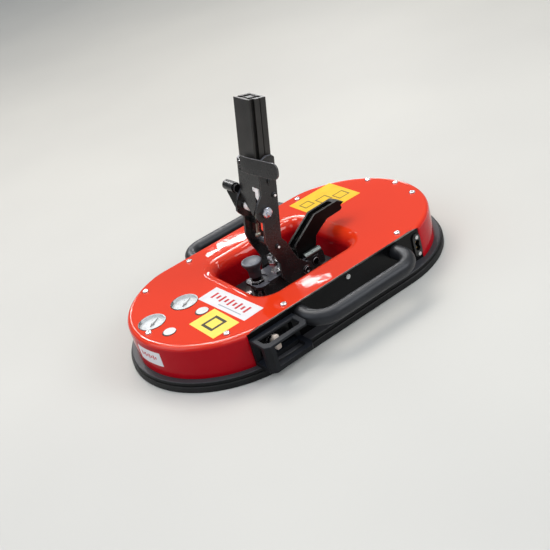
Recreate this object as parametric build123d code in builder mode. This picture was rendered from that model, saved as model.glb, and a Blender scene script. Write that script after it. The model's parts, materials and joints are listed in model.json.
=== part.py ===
"""Battery suction lifter for glass and panels: a long suction head with a swivelling, tilting mast."""
import math
import os

from build123d import *

os.makedirs("parts", exist_ok=True)

# Head outline in millimetres: a stadium along X, standing on its seal
half_straight = 110.0
seal_radius = 150.0
seal_width = 26.0
seal_height = 8.5
base_radius = 147.5
base_top = 14.0
cover_radius = 138.0
cover_top = 65.0
cover_wall = 2.5
cover_edge_radius = 7.0
side_cut = 130.0

# Well in the middle of the cover
well_x = 164.0
well_y = 140.0
well_corner = 22.0
well_lip = 20.0

# Cover furniture, measured from the centres of the two round ends
far_end = half_straight
near_end = -half_straight
gauge_points = {"a": (near_end - 104.7, 18.8), "b": (near_end - 48.5, 21.0)}
gauge_radius = 20.1
tip_screw_gap = 6.65
tip_screw_angle = 229.7
tip_screw = Vector(gauge_points["a"]) + Vector(gauge_radius + tip_screw_gap, 0).rotate(Axis.Z, tip_screw_angle)
screw_line = side_cut - 12.0
cover_screw_points = [
    (far_end + 112.0, 56.0), (far_end + 125.5, 5.0), (far_end + 114.0, -46.0),
    (126.0, -screw_line), (-82.0, -screw_line), (near_end - 58.5, -105.0),
    (tip_screw.X, tip_screw.Y), (near_end - 66.0, 104.0), (-89.0, screw_line), (124.0, screw_line),
]
post_radius = 4.5
screw_hole_radius = 2.2
gauge_depth = 25.0
gauge_wall = 1.2
light_points = [(near_end - 103.0, -27.0), (near_end - 47.0, -24.5)]
light_radius = 9.75
cutout_clearance = 0.3
label_thickness = 0.3

# Side panels and handles, mirrored front and rear
panel_thickness = 2.5
panel_outer = side_cut - 0.5
panel_half_length = half_straight + math.sqrt(cover_radius**2 - side_cut**2) - 2.3
panel_screw_x = 19.4
panel_screw_z = 56.0
backing_thickness = 3.0
handle_height = 48.0
handle_reach = 174.0
handle_left = -68.0
handle_right = 107.0
handle_bend = 30.0
handle_radius = 11.0
handle_screw_radius = 3.3

# Switch guard, toggle and charging inlet on the front panel
guard_left = -153.8
guard_right = handle_left - handle_radius - 1.0
guard_front = -170.5
guard_low = 14.6
guard_foot = 6.4
guard_top = 55.0
guard_ring = 3.0
toggle_x = -122.0
toggle_z = 38.5
toggle_ball = 4.5
inlet_x = 146.5
inlet_z = 38.0

# Swivel in the well
swivel_base_radius = 68.0
swivel_base_thickness = 3.5
stud_radius = 6.95
turntable_radius = 54.0
turntable_thickness = 4.6
turntable_gap = 0.4
ring_bolt_circle = 61.0
ring_bolt_count = 8
plunger_reach = 48.6
plunger_radius = 4.0
index_count = 8
bracket_half_width = 20.0
bracket_wall = 4.5
bracket_height = 21.5
cheek_rise = 3.0
stop_bolt_x = -21.0
stop_bolt_y = -11.0
stop_bolt_top = 78.5
stop_thread = 3.95

# Tilt axle, mast and the pieces on it
axle_x = 20.5
axle_z = 35.2
axle_radius = 7.0
drum_radius = 11.0
lever_pivot_x = 43.0
lever_pivot_z = 35.0
lever_pin_radius = 4.0
lever_half_width = 9.0
mast_offset = 52.9
rest_lean = 12.0
plate_inner = 23.0
plate_thickness = 4.0
neck_half = 13.5
mast_half_x = 13.5
mast_half_y = 20.0
mast_low = 116.0
mast_high = 262.0
core_bore_radius = 3.4
core_bore_offset = 7.0
core_bore_depth = 100.0
bolt_radius = 3.0
mast_bolt_points = [(8.0, 125.6), (2.3, 147.0)]
stop_bar_point = (6.3, 49.0)
shaft_x = -8.5
shaft_u = 104.6
shaft_radius = 4.5
rod_x = 1.5
rod_y = 15.0
rod_radius = 2.4
web_thickness = 2.3
latch_x = -18.5
latch_y = 11.5
latch_pin_radius = 1.2
latch_knuckle = 2.3
running_clearance = 0.05

# Heights and planes that follow from the sizes above
floor = base_top
swivel_base_top = floor + swivel_base_thickness
turntable_low = swivel_base_top + turntable_gap
turntable_top = turntable_low + turntable_thickness
bracket_top = turntable_top + bracket_height
plate_outer = plate_inner + plate_thickness
seat = (Align.CENTER, Align.CENTER, Align.MIN)
hang = (Align.CENTER, Align.CENTER, Align.MAX)
lean = math.radians(rest_lean)
mast_x_dir = (math.cos(lean), 0, -math.sin(lean))
mast_z_dir = (math.sin(lean), 0, math.cos(lean))
mast_origin = Vector(axle_x, 0, axle_z) - Vector(*mast_x_dir) * mast_offset
mast_frame = Plane(origin=mast_origin, x_dir=mast_x_dir, z_dir=mast_z_dir)
mast_side = Plane(origin=mast_origin, x_dir=mast_x_dir, z_dir=(0, -1, 0))
axle_plane = Plane((axle_x, 0, axle_z), x_dir=(1, 0, 0), z_dir=(0, -1, 0))
lever_plane = Plane((lever_pivot_x, 0, lever_pivot_z), x_dir=(1, 0, 0), z_dir=(0, -1, 0))
front_face = Plane((0, -panel_outer, 0), x_dir=(1, 0, 0), z_dir=(0, -1, 0))
rear_face = Plane((0, panel_outer, 0), x_dir=(-1, 0, 0), z_dir=(0, 1, 0))


def save(builder, name):
    """Label a finished piece and write its file."""
    builder.part.label = name
    export_step(builder.part, f"parts/{name}.step")


def ring_points(radius, count, start):
    """Evenly spaced points about the swivel axis."""
    angles = [math.radians(start + 360 / count * i) for i in range(count)]
    return [(radius * math.cos(angle), radius * math.sin(angle)) for angle in angles]


def at_height(points, z):
    """The same plan points, lifted to one height."""
    return [(x, y, z) for x, y in points]


def inside_well(edge):
    """True for the edges around the well opening."""
    return abs(edge.center().X) < well_x / 2 + well_lip and abs(edge.center().Y) < well_y / 2 + well_lip


def outer_rim(edge):
    """True for the edges of the stadium outline."""
    box = edge.bounding_box()
    return max(abs(box.max.Y), abs(box.min.Y)) > side_cut - 10


# Rubber seal: a long ring with two lips that press on the glass
lip_width = 8.0
with BuildPart() as suction_seal:
    with BuildSketch():
        SlotCenterToCenter(2 * half_straight, 2 * seal_radius)
        SlotCenterToCenter(2 * half_straight, 2 * (seal_radius - seal_width), mode=Mode.SUBTRACT)
    extrude(amount=seal_height)
    with BuildSketch():
        SlotCenterToCenter(2 * half_straight, 2 * (seal_radius - lip_width))
        SlotCenterToCenter(2 * half_straight, 2 * (seal_radius - seal_width + lip_width), mode=Mode.SUBTRACT)
    extrude(amount=seal_height / 2, mode=Mode.SUBTRACT)
    fillet(suction_seal.faces().filter_by(Axis.Z).sort_by(Axis.Z)[-1].outer_wire().edges(), 1.5)
save(suction_seal, "suction_seal")

# Stiff base plate over the seal, with index holes, bolt holes and suction ports
ring_bolt_points = ring_points(ring_bolt_circle, ring_bolt_count, 180 / ring_bolt_count)
index_points = ring_points(plunger_reach, index_count, 0)
valve_port = (-78.0, -100.0)
port_points = [valve_port, *gauge_points.values()]
with BuildPart() as base_plate:
    with BuildSketch(Plane.XY.offset(seal_height)):
        SlotCenterToCenter(2 * half_straight, 2 * base_radius)
    extrude(amount=base_top - seal_height)
    fillet(base_plate.edges().group_by(Axis.Z)[-1], 2.0)
    with Locations(*at_height(ring_bolt_points, base_top)):
        Hole(bolt_radius, depth=4.2)
    with Locations(*at_height(index_points, base_top)):
        Hole(plunger_radius + 0.15, depth=3.0)
    with Locations(*at_height(port_points, base_top)):
        Hole(2.0)
save(base_plate, "base_plate")

# Inside space of the cover, wrapped around the well wall
with BuildPart() as cover_cavity:
    with BuildSketch(Plane.XY.offset(floor)):
        SlotCenterToCenter(2 * half_straight, 2 * (cover_radius - cover_wall))
        RectangleRounded(well_x + 2 * cover_wall, well_y + 2 * cover_wall, well_corner + cover_wall,
                         mode=Mode.SUBTRACT)
    extrude(amount=cover_top - cover_wall - floor)
    fillet(cover_cavity.edges().group_by(Axis.Z)[-1].filter_by(inside_well), well_lip - cover_wall)
    fillet(cover_cavity.edges().group_by(Axis.Z)[-1].filter_by(outer_rim), cover_edge_radius - cover_wall)
    with BuildSketch(Plane.XY.offset(floor)):
        Rectangle(2 * (half_straight + seal_radius), 2 * side_cut)
    extrude(amount=cover_top, mode=Mode.INTERSECT)

# Red cover: long rounded shell with flat sides cut away and a dished well
with BuildPart() as cover:
    with BuildSketch(Plane.XY.offset(floor)):
        SlotCenterToCenter(2 * half_straight, 2 * cover_radius)
        RectangleRounded(well_x, well_y, well_corner, mode=Mode.SUBTRACT)
    extrude(amount=cover_top - floor)
    fillet(cover.edges().group_by(Axis.Z)[-1].filter_by(inside_well), well_lip)
    fillet(cover.edges().group_by(Axis.Z)[-1].filter_by(outer_rim), cover_edge_radius)
    with BuildSketch(Plane.XY.offset(floor)):
        Rectangle(2 * (half_straight + seal_radius), 2 * side_cut)
    extrude(amount=cover_top, mode=Mode.INTERSECT)
    add(cover_cavity.part, mode=Mode.SUBTRACT)
    with BuildSketch(Plane.XY.offset(floor)):
        with Locations((0, -side_cut), (0, side_cut)):
            Rectangle(2 * panel_half_length, 2 * (panel_thickness + 0.7))
    extrude(amount=cover_top - cover_wall - floor, mode=Mode.SUBTRACT)
    with Locations(*at_height(gauge_points.values(), cover_top)):
        Hole(gauge_radius + cutout_clearance, depth=2 * cover_wall)
    with Locations(*at_height(light_points, cover_top)):
        Hole(light_radius + cutout_clearance, depth=2 * cover_wall)
    with Locations(*at_height(cover_screw_points, cover_top)):
        Hole(screw_hole_radius, depth=2 * cover_wall)
save(cover, "cover")

# Posts that carry the cover, and the screws that hold it down
shelf = cover_top - cover_wall
thread_radius = screw_hole_radius - 0.25
with BuildPart() as cover_posts:
    with Locations(*at_height(cover_screw_points, floor)):
        Cylinder(post_radius, shelf - floor, align=seat)
    with Locations(*at_height(cover_screw_points, shelf)):
        Hole(thread_radius, depth=14)
save(cover_posts, "cover_posts")

head_height = 2.5
with BuildPart() as cover_screws:
    with Locations(*at_height(cover_screw_points, cover_top)):
        Cylinder(4.6, head_height, align=seat)
    fillet(cover_screws.edges().group_by(Axis.Z)[-1], 1.8)
    with Locations(*at_height(cover_screw_points, cover_top)):
        Cylinder(thread_radius, 12.0, align=hang)
    with BuildSketch(Plane.XY.offset(cover_top + head_height)):
        with Locations(*cover_screw_points):
            RegularPolygon(1.6, 6)
    extrude(amount=-1.5, mode=Mode.SUBTRACT)
save(cover_screws, "cover_screws")

# Vacuum gauges: cans, dials, needles and lenses
gauge_low = cover_top - gauge_depth
dial_low = gauge_low + 3.0
dial_top = cover_top - 4.0
lens_low = cover_top - 1.4
dial_radius = gauge_radius - gauge_wall
gauge_stem = 10.0
rim_rise = 0.6
with BuildPart() as gauge_cases:
    with Locations(*at_height(gauge_points.values(), gauge_low)):
        Cylinder(gauge_radius, gauge_depth + rim_rise, align=seat)
        Cylinder(5.0, gauge_stem, align=hang)
    with Locations(*at_height(gauge_points.values(), cover_top + rim_rise)):
        Hole(dial_radius, depth=cover_top + rim_rise - dial_low)
save(gauge_cases, "gauge_cases")

with BuildPart() as gauge_dials:
    with Locations(*at_height(gauge_points.values(), dial_low)):
        Cylinder(dial_radius, dial_top - dial_low, align=seat)
    with Locations(*at_height(gauge_points.values(), dial_top)):
        Cylinder(0.7, 1.8, align=seat)
save(gauge_dials, "gauge_dials")

with BuildPart() as gauge_lenses:
    with Locations(*at_height(gauge_points.values(), lens_low)):
        Cylinder(dial_radius, 1.6, align=seat)
    fillet(gauge_lenses.edges().group_by(Axis.Z)[-1], 0.5)
save(gauge_lenses, "gauge_lenses")

pointing = math.radians(27.0)
for key, (gauge_x, gauge_y) in gauge_points.items():
    needle_plane = Plane((gauge_x, gauge_y, dial_top + 0.5), x_dir=(math.cos(pointing), math.sin(pointing), 0))
    with BuildPart() as gauge_needle:
        with BuildSketch(needle_plane):
            Circle(2.6)
            with BuildLine():
                Polyline((0, 0.8), (14.5, 0.25), (14.5, -0.25), (0, -0.8), (-6.0, -1.0), (-6.0, 1.0),
                         close=True)
            make_face()
            Circle(0.7 + running_clearance, mode=Mode.SUBTRACT)
        extrude(amount=0.8)
    save(gauge_needle, f"gauge_needle_{key}")

# Round signal lights
light_depth = 13.0
with BuildPart() as signal_lights:
    with Locations(*at_height(light_points, cover_top - light_depth)):
        Cylinder(light_radius, light_depth + 0.8, align=seat)
    fillet(signal_lights.edges().group_by(Axis.Z)[-1], 0.7)
save(signal_lights, "signal_lights")

# Blank labels: three on the cover and one wrapped around the near end
white_turn = 2.9
white_width = 34.0
white_length = 110.0
white_corner = Vector(gauge_points["b"]) + Vector(gauge_radius + 0.2, 0).rotate(Axis.Z, -38.2)
white_center = white_corner + Vector(white_width / 2, -white_length / 2).rotate(Axis.Z, white_turn)
end_label_low = 30.0
end_label_height = 22.0
end_label_start = 175.5
end_label_span = 21.2
with BuildPart() as labels:
    with BuildSketch(Plane.XY.offset(cover_top)):
        with Locations(Location((white_center.X, white_center.Y, 0), (0, 0, white_turn))):
            RectangleRounded(white_width, white_length, 0.8)
    extrude(amount=label_thickness)
    with BuildSketch(Plane.XY.offset(cover_top)):
        with Locations((near_end - 54.6, -67.5)):
            RectangleRounded(43.0, 62.0, 0.8)
        with Locations((144.0, 72.0)):
            RectangleRounded(84.0, 78.0, 0.8)
    extrude(amount=label_thickness)
    with BuildSketch(Plane((near_end, 0, end_label_low))):
        with BuildLine():
            outside = CenterArc((0, 0), cover_radius + label_thickness, end_label_start, end_label_span)
            inside = CenterArc((0, 0), cover_radius, end_label_start, end_label_span)
            Line(outside @ 0, inside @ 0)
            Line(outside @ 1, inside @ 1)
        make_face()
    extrude(amount=end_label_height)
save(labels, "labels")

# Black side panels with their handles
handle_spots = (handle_left, handle_right)
for side, name, face in ((-1, "front", front_face), (1, "rear", rear_face)):
    spots = [(-side * x, handle_height) for x in handle_spots]
    with BuildPart() as panel:
        with BuildSketch(face):
            with Locations((0, (floor + shelf) / 2)):
                Rectangle(2 * panel_half_length - 0.4, shelf - floor)
            with Locations(*spots):
                Circle(handle_screw_radius + 0.4, mode=Mode.SUBTRACT)
            with Locations((-side * panel_screw_x, panel_screw_z)):
                Circle(screw_hole_radius, mode=Mode.SUBTRACT)
            if name == "front":
                with Locations((toggle_x, toggle_z)):
                    Circle(6.1, mode=Mode.SUBTRACT)
                with Locations((inlet_x, inlet_z)):
                    Rectangle(10.4, 20.4, mode=Mode.SUBTRACT)
        extrude(amount=-panel_thickness)
    save(panel, f"{name}_panel")

    with BuildPart() as handle:
        with BuildLine(Plane.XY.offset(handle_height)) as handle_line:
            FilletPolyline((handle_left, side * panel_outer), (handle_left, side * handle_reach),
                           (handle_right, side * handle_reach), (handle_right, side * panel_outer),
                           radius=handle_bend)
        with BuildSketch(Plane(handle_line.line @ 0, z_dir=handle_line.line % 0)):
            Circle(handle_radius)
        sweep()
        with BuildSketch(face):
            with Locations(*spots):
                Circle(handle_screw_radius)
        extrude(amount=16.0, mode=Mode.SUBTRACT)
    save(handle, f"{name}_handle")

# Bars behind the panels, and the screws that pull the handles against them
inner_faces = [face.offset(-panel_thickness) for face in (front_face, rear_face)]
with BuildPart() as backing_bars:
    for face, side in zip(inner_faces, (-1, 1)):
        with BuildSketch(face):
            with Locations((-side * (handle_left + handle_right) / 2, handle_height + 3.0)):
                Rectangle(handle_right - handle_left + 30.0, 22.0)
            with Locations(*[(-side * x, handle_height) for x in handle_spots]):
                Circle(handle_screw_radius + 0.4, mode=Mode.SUBTRACT)
            with Locations((-side * panel_screw_x, panel_screw_z)):
                Circle(thread_radius, mode=Mode.SUBTRACT)
        extrude(amount=-backing_thickness)
save(backing_bars, "backing_bars")

with BuildPart() as handle_screws:
    for face, side in zip(inner_faces, (-1, 1)):
        head_face = face.offset(-backing_thickness)
        spots = [(-side * x, handle_height) for x in handle_spots]
        with BuildSketch(head_face):
            with Locations(*spots):
                Circle(handle_screw_radius)
        extrude(amount=backing_thickness + panel_thickness + 14.0)
        with BuildSketch(head_face):
            with Locations(*spots):
                Circle(6.5)
        extrude(amount=-7.0)
save(handle_screws, "handle_screws")

with BuildPart() as panel_screws:
    for face, side in ((front_face, -1), (rear_face, 1)):
        with BuildSketch(face):
            with Locations((-side * panel_screw_x, panel_screw_z)):
                Circle(3.6)
        extrude(amount=2.0)
        with BuildSketch(face):
            with Locations((-side * panel_screw_x, panel_screw_z)):
                Circle(thread_radius)
        extrude(amount=-(panel_thickness + backing_thickness))
save(panel_screws, "panel_screws")

# Charging inlet: upright two-pin plate with its pins and screws
inlet_plate = 2.6
socket_depth = 13.0
inlet_screw_spots = [(inlet_x, inlet_z - 13.2), (inlet_x, inlet_z + 13.2)]
inlet_pin_spots = [(inlet_x, inlet_z - 4.3), (inlet_x, inlet_z + 4.3)]
with BuildPart() as charge_inlet:
    with BuildSketch(front_face):
        with Locations((inlet_x, inlet_z)):
            SlotOverall(36.0, 14.0, rotation=90)
    extrude(amount=inlet_plate)
    with BuildSketch(front_face):
        with Locations((inlet_x, inlet_z)):
            RectangleRounded(10.0, 20.0, 2.0)
    extrude(amount=-18.0)
    with BuildSketch(front_face.offset(inlet_plate)):
        with Locations(*inlet_pin_spots):
            Circle(4.1)
        with Locations((inlet_x, inlet_z)):
            Rectangle(5.0, 8.0)
    extrude(amount=-socket_depth, mode=Mode.SUBTRACT)
    with BuildSketch(front_face):
        with Locations(*inlet_screw_spots):
            Circle(1.6)
    extrude(amount=inlet_plate, mode=Mode.SUBTRACT)
save(charge_inlet, "charge_inlet")

with BuildPart() as inlet_pins:
    with BuildSketch(front_face.offset(inlet_plate - socket_depth)):
        with Locations(*inlet_pin_spots):
            Circle(1.2)
    extrude(amount=9.0)
save(inlet_pins, "inlet_pins")

with BuildPart() as inlet_screws:
    with BuildSketch(front_face.offset(inlet_plate)):
        with Locations(*inlet_screw_spots):
            Circle(2.8)
    extrude(amount=1.5)
    with BuildSketch(front_face.offset(inlet_plate)):
        with Locations(*inlet_screw_spots):
            Circle(1.6)
    extrude(amount=-inlet_plate)
save(inlet_screws, "inlet_screws")

# Guard around the toggle: a thin top ring and a foot ring, joined by two posts on the wall and one in front
guard_wall = -panel_outer
guard_outline = [
    (guard_left, guard_wall), (guard_left, guard_front + 6.0), (guard_left + 7.0, guard_front),
    (guard_right - 6.0, guard_front + 2.0), (guard_right, guard_front + 10.0), (guard_right, guard_wall),
]
guard_window = [
    (guard_left + 7.5, guard_wall - 11.5), (guard_left + 7.5, guard_front + 16.0),
    (guard_left + 12.0, guard_front + 11.0), (guard_right - 12.0, guard_front + 11.0),
    (guard_right - 8.5, guard_front + 14.5), (guard_right - 8.5, guard_wall - 11.5),
]
front_post = [
    (guard_left, guard_front + 13.0), (guard_left, guard_front + 6.0), (guard_left + 7.0, guard_front),
    (guard_left + 13.5, guard_front + 0.2), (guard_left + 13.5, guard_front + 9.0),
    (guard_left + 7.5, guard_front + 13.0),
]
with BuildPart() as switch_guard:
    for low, height in ((guard_low, guard_foot), (guard_top - guard_ring, guard_ring)):
        with BuildSketch(Plane.XY.offset(low)):
            with BuildLine():
                Polyline(*guard_outline, close=True)
            make_face()
            with BuildLine():
                Polyline(*guard_window, close=True)
            make_face(mode=Mode.SUBTRACT)
        extrude(amount=height)
    chamfer(switch_guard.edges().group_by(Axis.Z)[-1], 0.9)
    with BuildSketch(Plane.XY.offset(guard_low + guard_foot)):
        with BuildLine():
            Polyline(*front_post, close=True)
        make_face()
        with Locations((guard_left + 4.0, guard_wall - 3.0), (guard_right - 4.0, guard_wall - 3.0)):
            Rectangle(8.0, 6.0)
    extrude(amount=guard_top - guard_low - guard_foot - guard_ring)
save(switch_guard, "switch_guard")

# Toggle switch: bushing with its case, and the lever with an upright paddle
toggle_face = Plane((toggle_x, -panel_outer, toggle_z), x_dir=(1, 0, 0), z_dir=(0, -1, 0))
toggle_reach = 6.5
with BuildPart() as toggle_body:
    with BuildSketch(toggle_face.offset(-panel_thickness)):
        Circle(6.0)
    extrude(amount=panel_thickness + toggle_reach)
    with BuildSketch(toggle_face):
        RegularPolygon(9.0, 6)
    extrude(amount=2.4)
    with BuildSketch(toggle_face.offset(-panel_thickness)):
        Rectangle(16.0, 26.0)
    extrude(amount=-22.0)
    with BuildSketch(toggle_face.offset(toggle_reach)):
        Circle(toggle_ball + 0.08)
    extrude(amount=-12.0, mode=Mode.SUBTRACT)
save(toggle_body, "toggle_body")

toggle_pivot = toggle_face.offset(1.5)
with BuildPart() as toggle_lever:
    with Locations(toggle_pivot):
        Sphere(toggle_ball)
    with BuildSketch(toggle_pivot):
        Circle(2.4)
    extrude(amount=12.0)
    with BuildSketch(toggle_pivot.offset(10.5)):
        RectangleRounded(8.5, 22.0, 3.0)
    extrude(amount=5.5)
    fillet(toggle_lever.faces().sort_by(Axis.Y)[0].edges(), 1.2)
save(toggle_lever, "toggle_lever")

# Inside the cover: battery, pump with motor, release valve, hoses and control board
pump_y = -98.0
pump_z = 32.0
pump_start = 5.0
valve_start = -68.0
valve_end = -32.0
with BuildPart() as battery_pack:
    with BuildSketch(Plane.XY.offset(floor)):
        with Locations((far_end + 48.0, 0)):
            RectangleRounded(80.0, 88.0, 4.0)
    extrude(amount=38.0)
save(battery_pack, "battery_pack")

with BuildPart() as vacuum_pump:
    with BuildSketch(Plane.XY.offset(floor)):
        with Locations((pump_start + 15.0, pump_y)):
            RectangleRounded(30.0, 36.0, 3.0)
    extrude(amount=36.0)
    with BuildSketch(Plane((pump_start + 30.0, pump_y, pump_z), z_dir=(1, 0, 0))):
        Circle(16.0)
    extrude(amount=48.0)
    with BuildSketch(Plane((pump_start + 78.0, pump_y, pump_z), z_dir=(1, 0, 0))):
        Circle(4.0)
    extrude(amount=4.0)
save(vacuum_pump, "vacuum_pump")

with BuildPart() as release_valve:
    with BuildSketch(Plane.XY.offset(floor)):
        with Locations(((valve_start + valve_end) / 2, pump_y)):
            RectangleRounded(valve_end - valve_start, 24.0, 2.0)
    extrude(amount=26.0)
save(release_valve, "release_valve")

with BuildPart() as vacuum_hoses:
    with BuildSketch(Plane((valve_end, pump_y, pump_z), z_dir=(1, 0, 0))):
        Circle(4.0)
        Circle(2.5, mode=Mode.SUBTRACT)
    extrude(amount=pump_start - valve_end)
    with BuildSketch(Plane.XY.offset(floor)):
        with Locations(*gauge_points.values()):
            Circle(3.0)
            Circle(2.0, mode=Mode.SUBTRACT)
    extrude(amount=gauge_low - gauge_stem - floor)
    with BuildLine(Plane((0, valve_port[1], 0), x_dir=(1, 0, 0), z_dir=(0, -1, 0))) as port_line:
        FilletPolyline((valve_port[0], floor), (valve_port[0], floor + 16.0), (valve_start, floor + 16.0),
                       radius=7.0)
    with BuildSketch(Plane(port_line.line @ 0, z_dir=port_line.line % 0)):
        Circle(3.5)
        Circle(2.0, mode=Mode.SUBTRACT)
    sweep()
save(vacuum_hoses, "vacuum_hoses")

board_x = near_end - 52.0
board_y = -72.0
board_low = floor + 6.0
board_thickness = 1.6
with BuildPart() as control_board:
    with BuildSketch(Plane.XY.offset(board_low)):
        with Locations((board_x, board_y)):
            Rectangle(52.0, 46.0)
    extrude(amount=board_thickness)
    with BuildSketch(Plane.XY.offset(floor)):
        with Locations((board_x, board_y)):
            with GridLocations(40.0, 34.0, 2, 2):
                Circle(2.5)
    extrude(amount=board_low - floor)
    with BuildSketch(Plane.XY.offset(board_low + board_thickness)):
        with Locations((board_x - 8.0, board_y + 2.0)):
            Rectangle(14.0, 14.0)
        with Locations((board_x + 16.0, board_y)):
            Rectangle(8.0, 24.0)
    extrude(amount=5.0)
save(control_board, "control_board")

# Swivel base bolted to the well floor, with index holes and a central stud
stud_top = turntable_top + 9.5
with BuildPart() as swivel_base:
    with Locations((0, 0, floor)):
        Cylinder(swivel_base_radius, swivel_base_thickness, align=seat)
    chamfer(swivel_base.edges().group_by(Axis.Z)[-1], 0.8)
    with Locations(*at_height(ring_bolt_points, swivel_base_top)):
        Hole(bolt_radius)
    with Locations(*at_height(index_points, swivel_base_top)):
        Hole(plunger_radius + 0.15)
    with Locations((0, 0, floor)):
        Cylinder(stud_radius, stud_top - floor, align=seat)
save(swivel_base, "swivel_base")

with BuildPart() as ring_bolts:
    with BuildSketch(Plane.XY.offset(swivel_base_top)):
        with Locations(*ring_bolt_points):
            RegularPolygon(5.5, 6)
    extrude(amount=4.0)
    chamfer(ring_bolts.edges().group_by(Axis.Z)[-1], 0.5)
    with Locations(*at_height(ring_bolt_points, swivel_base_top)):
        Cylinder(bolt_radius, swivel_base_thickness + 3.9, align=hang)
save(ring_bolts, "ring_bolts")

nut_low = turntable_top + turntable_gap
washer = 1.6
with BuildPart() as swivel_nut:
    with BuildSketch(Plane.XY.offset(nut_low)):
        Circle(12.0)
        Circle(stud_radius, mode=Mode.SUBTRACT)
    extrude(amount=washer)
    with BuildSketch(Plane.XY.offset(nut_low + washer)):
        RegularPolygon(9.8, 6)
        Circle(stud_radius, mode=Mode.SUBTRACT)
    extrude(amount=6.0)
save(swivel_nut, "swivel_nut")

# Turntable that turns on the stud
with BuildPart() as turntable:
    with Locations((0, 0, turntable_low)):
        Cylinder(turntable_radius, turntable_thickness, align=seat)
    chamfer(turntable.edges().group_by(Axis.Z)[-1], 0.8)
    with Locations((0, 0, turntable_top)):
        Hole(stud_radius + running_clearance)
    with Locations((-plunger_reach, 0, turntable_top)):
        Hole(plunger_radius + 0.3)
save(turntable, "turntable")

# Pivot bracket: two walls on the turntable, rolled over beside the lever, joined by a plate for the plunger
cheek_top = bracket_top + cheek_rise
roll_radius = 6.2
roll_y = bracket_half_width + 2.0 - roll_radius
wall_outline = [
    (-52.0, turntable_top), (-52.0, bracket_top - 6.0), (-46.0, bracket_top), (22.0, bracket_top),
    (26.0, cheek_top), (57.0, cheek_top), (60.0, cheek_top - 3.0), (60.0, turntable_top + 4.5),
    (48.0, turntable_top),
]
top_plate = 4.5
pad_height = 2.0
pad_top = bracket_top + pad_height
with BuildPart() as pivot_bracket:
    with BuildSketch(Plane.XZ.offset(bracket_half_width - bracket_wall), Plane.XZ.offset(-bracket_half_width)):
        with BuildLine():
            Polyline(*wall_outline, close=True)
        make_face()
    extrude(amount=bracket_wall)
    with BuildSketch(Plane.XY.offset(bracket_top - top_plate)):
        with BuildLine():
            Polyline((-60.0, -14.0), (-54.0, -bracket_half_width), (2.0, -bracket_half_width),
                     (2.0, bracket_half_width), (-54.0, bracket_half_width), (-60.0, 14.0), close=True)
        make_face()
    extrude(amount=top_plate)
    with BuildSketch(Plane.XY.offset(bracket_top)):
        with Locations((-19.0, 0)):
            Rectangle(42.0, 2 * bracket_half_width)
        with Locations((-plunger_reach, 0)):
            Circle(17.0, mode=Mode.SUBTRACT)
    extrude(amount=pad_height)
    with BuildSketch(Plane.YZ.offset(28.0)):
        with Locations((roll_y, cheek_top + 0.2), (-roll_y, cheek_top + 0.2)):
            Circle(roll_radius)
    extrude(amount=29.0)
    with Locations((-plunger_reach, 0, bracket_top)):
        Hole(8.0, depth=top_plate)
    with Locations((stop_bolt_x, stop_bolt_y, pad_top)):
        Hole(stop_thread, depth=pad_height + top_plate)
    with Locations(axle_plane):
        Cylinder(axle_radius + running_clearance, 3 * bracket_half_width, mode=Mode.SUBTRACT)
    with Locations(lever_plane):
        Cylinder(lever_pin_radius, 3 * bracket_half_width, mode=Mode.SUBTRACT)
save(pivot_bracket, "pivot_bracket")

# Index plunger: threaded body, sliding pin and pull knob
plunger_plane = Plane((-plunger_reach, 0, 0))
sleeve_low = bracket_top - 12.0
body_top = bracket_top + 14.0
pin_low = swivel_base_top + 0.5
knob_low = body_top - 3.0
knob_floor = 15.0
with BuildPart() as plunger_body:
    with BuildSketch(plunger_plane.offset(sleeve_low)):
        Circle(8.0)
    extrude(amount=bracket_top - sleeve_low)
    with BuildSketch(plunger_plane.offset(bracket_top)):
        RegularPolygon(11.0, 6)
    extrude(amount=4.0)
    with BuildSketch(plunger_plane.offset(bracket_top + 4.0)):
        Circle(7.3)
    extrude(amount=body_top - bracket_top - 4.0)
    with BuildSketch(plunger_plane.offset(sleeve_low)):
        Circle(plunger_radius + running_clearance)
    extrude(amount=body_top - sleeve_low, mode=Mode.SUBTRACT)
save(plunger_body, "plunger_body")

with BuildPart() as plunger_knob:
    with BuildSketch(Plane((-plunger_reach, 0, knob_low), x_dir=(1, 0, 0), z_dir=(0, -1, 0))):
        with BuildLine():
            Polyline((plunger_radius, 10.0), (7.7, 10.0), (7.7, 0), (9.2, 0), (9.4, 7.0))
            Spline((9.4, 7.0), (10.2, 12.0), (13.2, 17.5), (15.2, 21.0))
            Polyline((15.2, 21.0), (15.5, 22.5), (14.8, 24.5), (13.4, 25.0))
            Spline((13.4, 25.0), (8.0, 22.2), (0, 21.2))
            Polyline((0, 21.2), (0, knob_floor), (plunger_radius, knob_floor), (plunger_radius, 10.0))
        make_face()
    revolve(axis=Axis((-plunger_reach, 0, 0), (0, 0, 1)))
save(plunger_knob, "plunger_knob")

with BuildPart() as plunger_pin:
    with BuildSketch(plunger_plane.offset(pin_low)):
        Circle(plunger_radius)
    extrude(amount=knob_low + knob_floor - pin_low)
    chamfer(plunger_pin.edges().group_by(Axis.Z)[0], 0.8)
save(plunger_pin, "plunger_pin")

# Stop bolt under the arm, with its two nuts
stop_plane = Plane((stop_bolt_x, stop_bolt_y, 0))
stop_head = 5.5
nut_height = 6.0
with BuildPart() as stop_bolt:
    with BuildSketch(stop_plane.offset(bracket_top - 8.0)):
        Circle(stop_thread)
    extrude(amount=stop_bolt_top - stop_head - bracket_top + 8.0)
    with BuildSketch(stop_plane.offset(stop_bolt_top - stop_head)):
        RegularPolygon(7.2, 6)
    extrude(amount=stop_head)
    chamfer(stop_bolt.edges().group_by(Axis.Z)[-1], 0.7)
save(stop_bolt, "stop_bolt")

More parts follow.
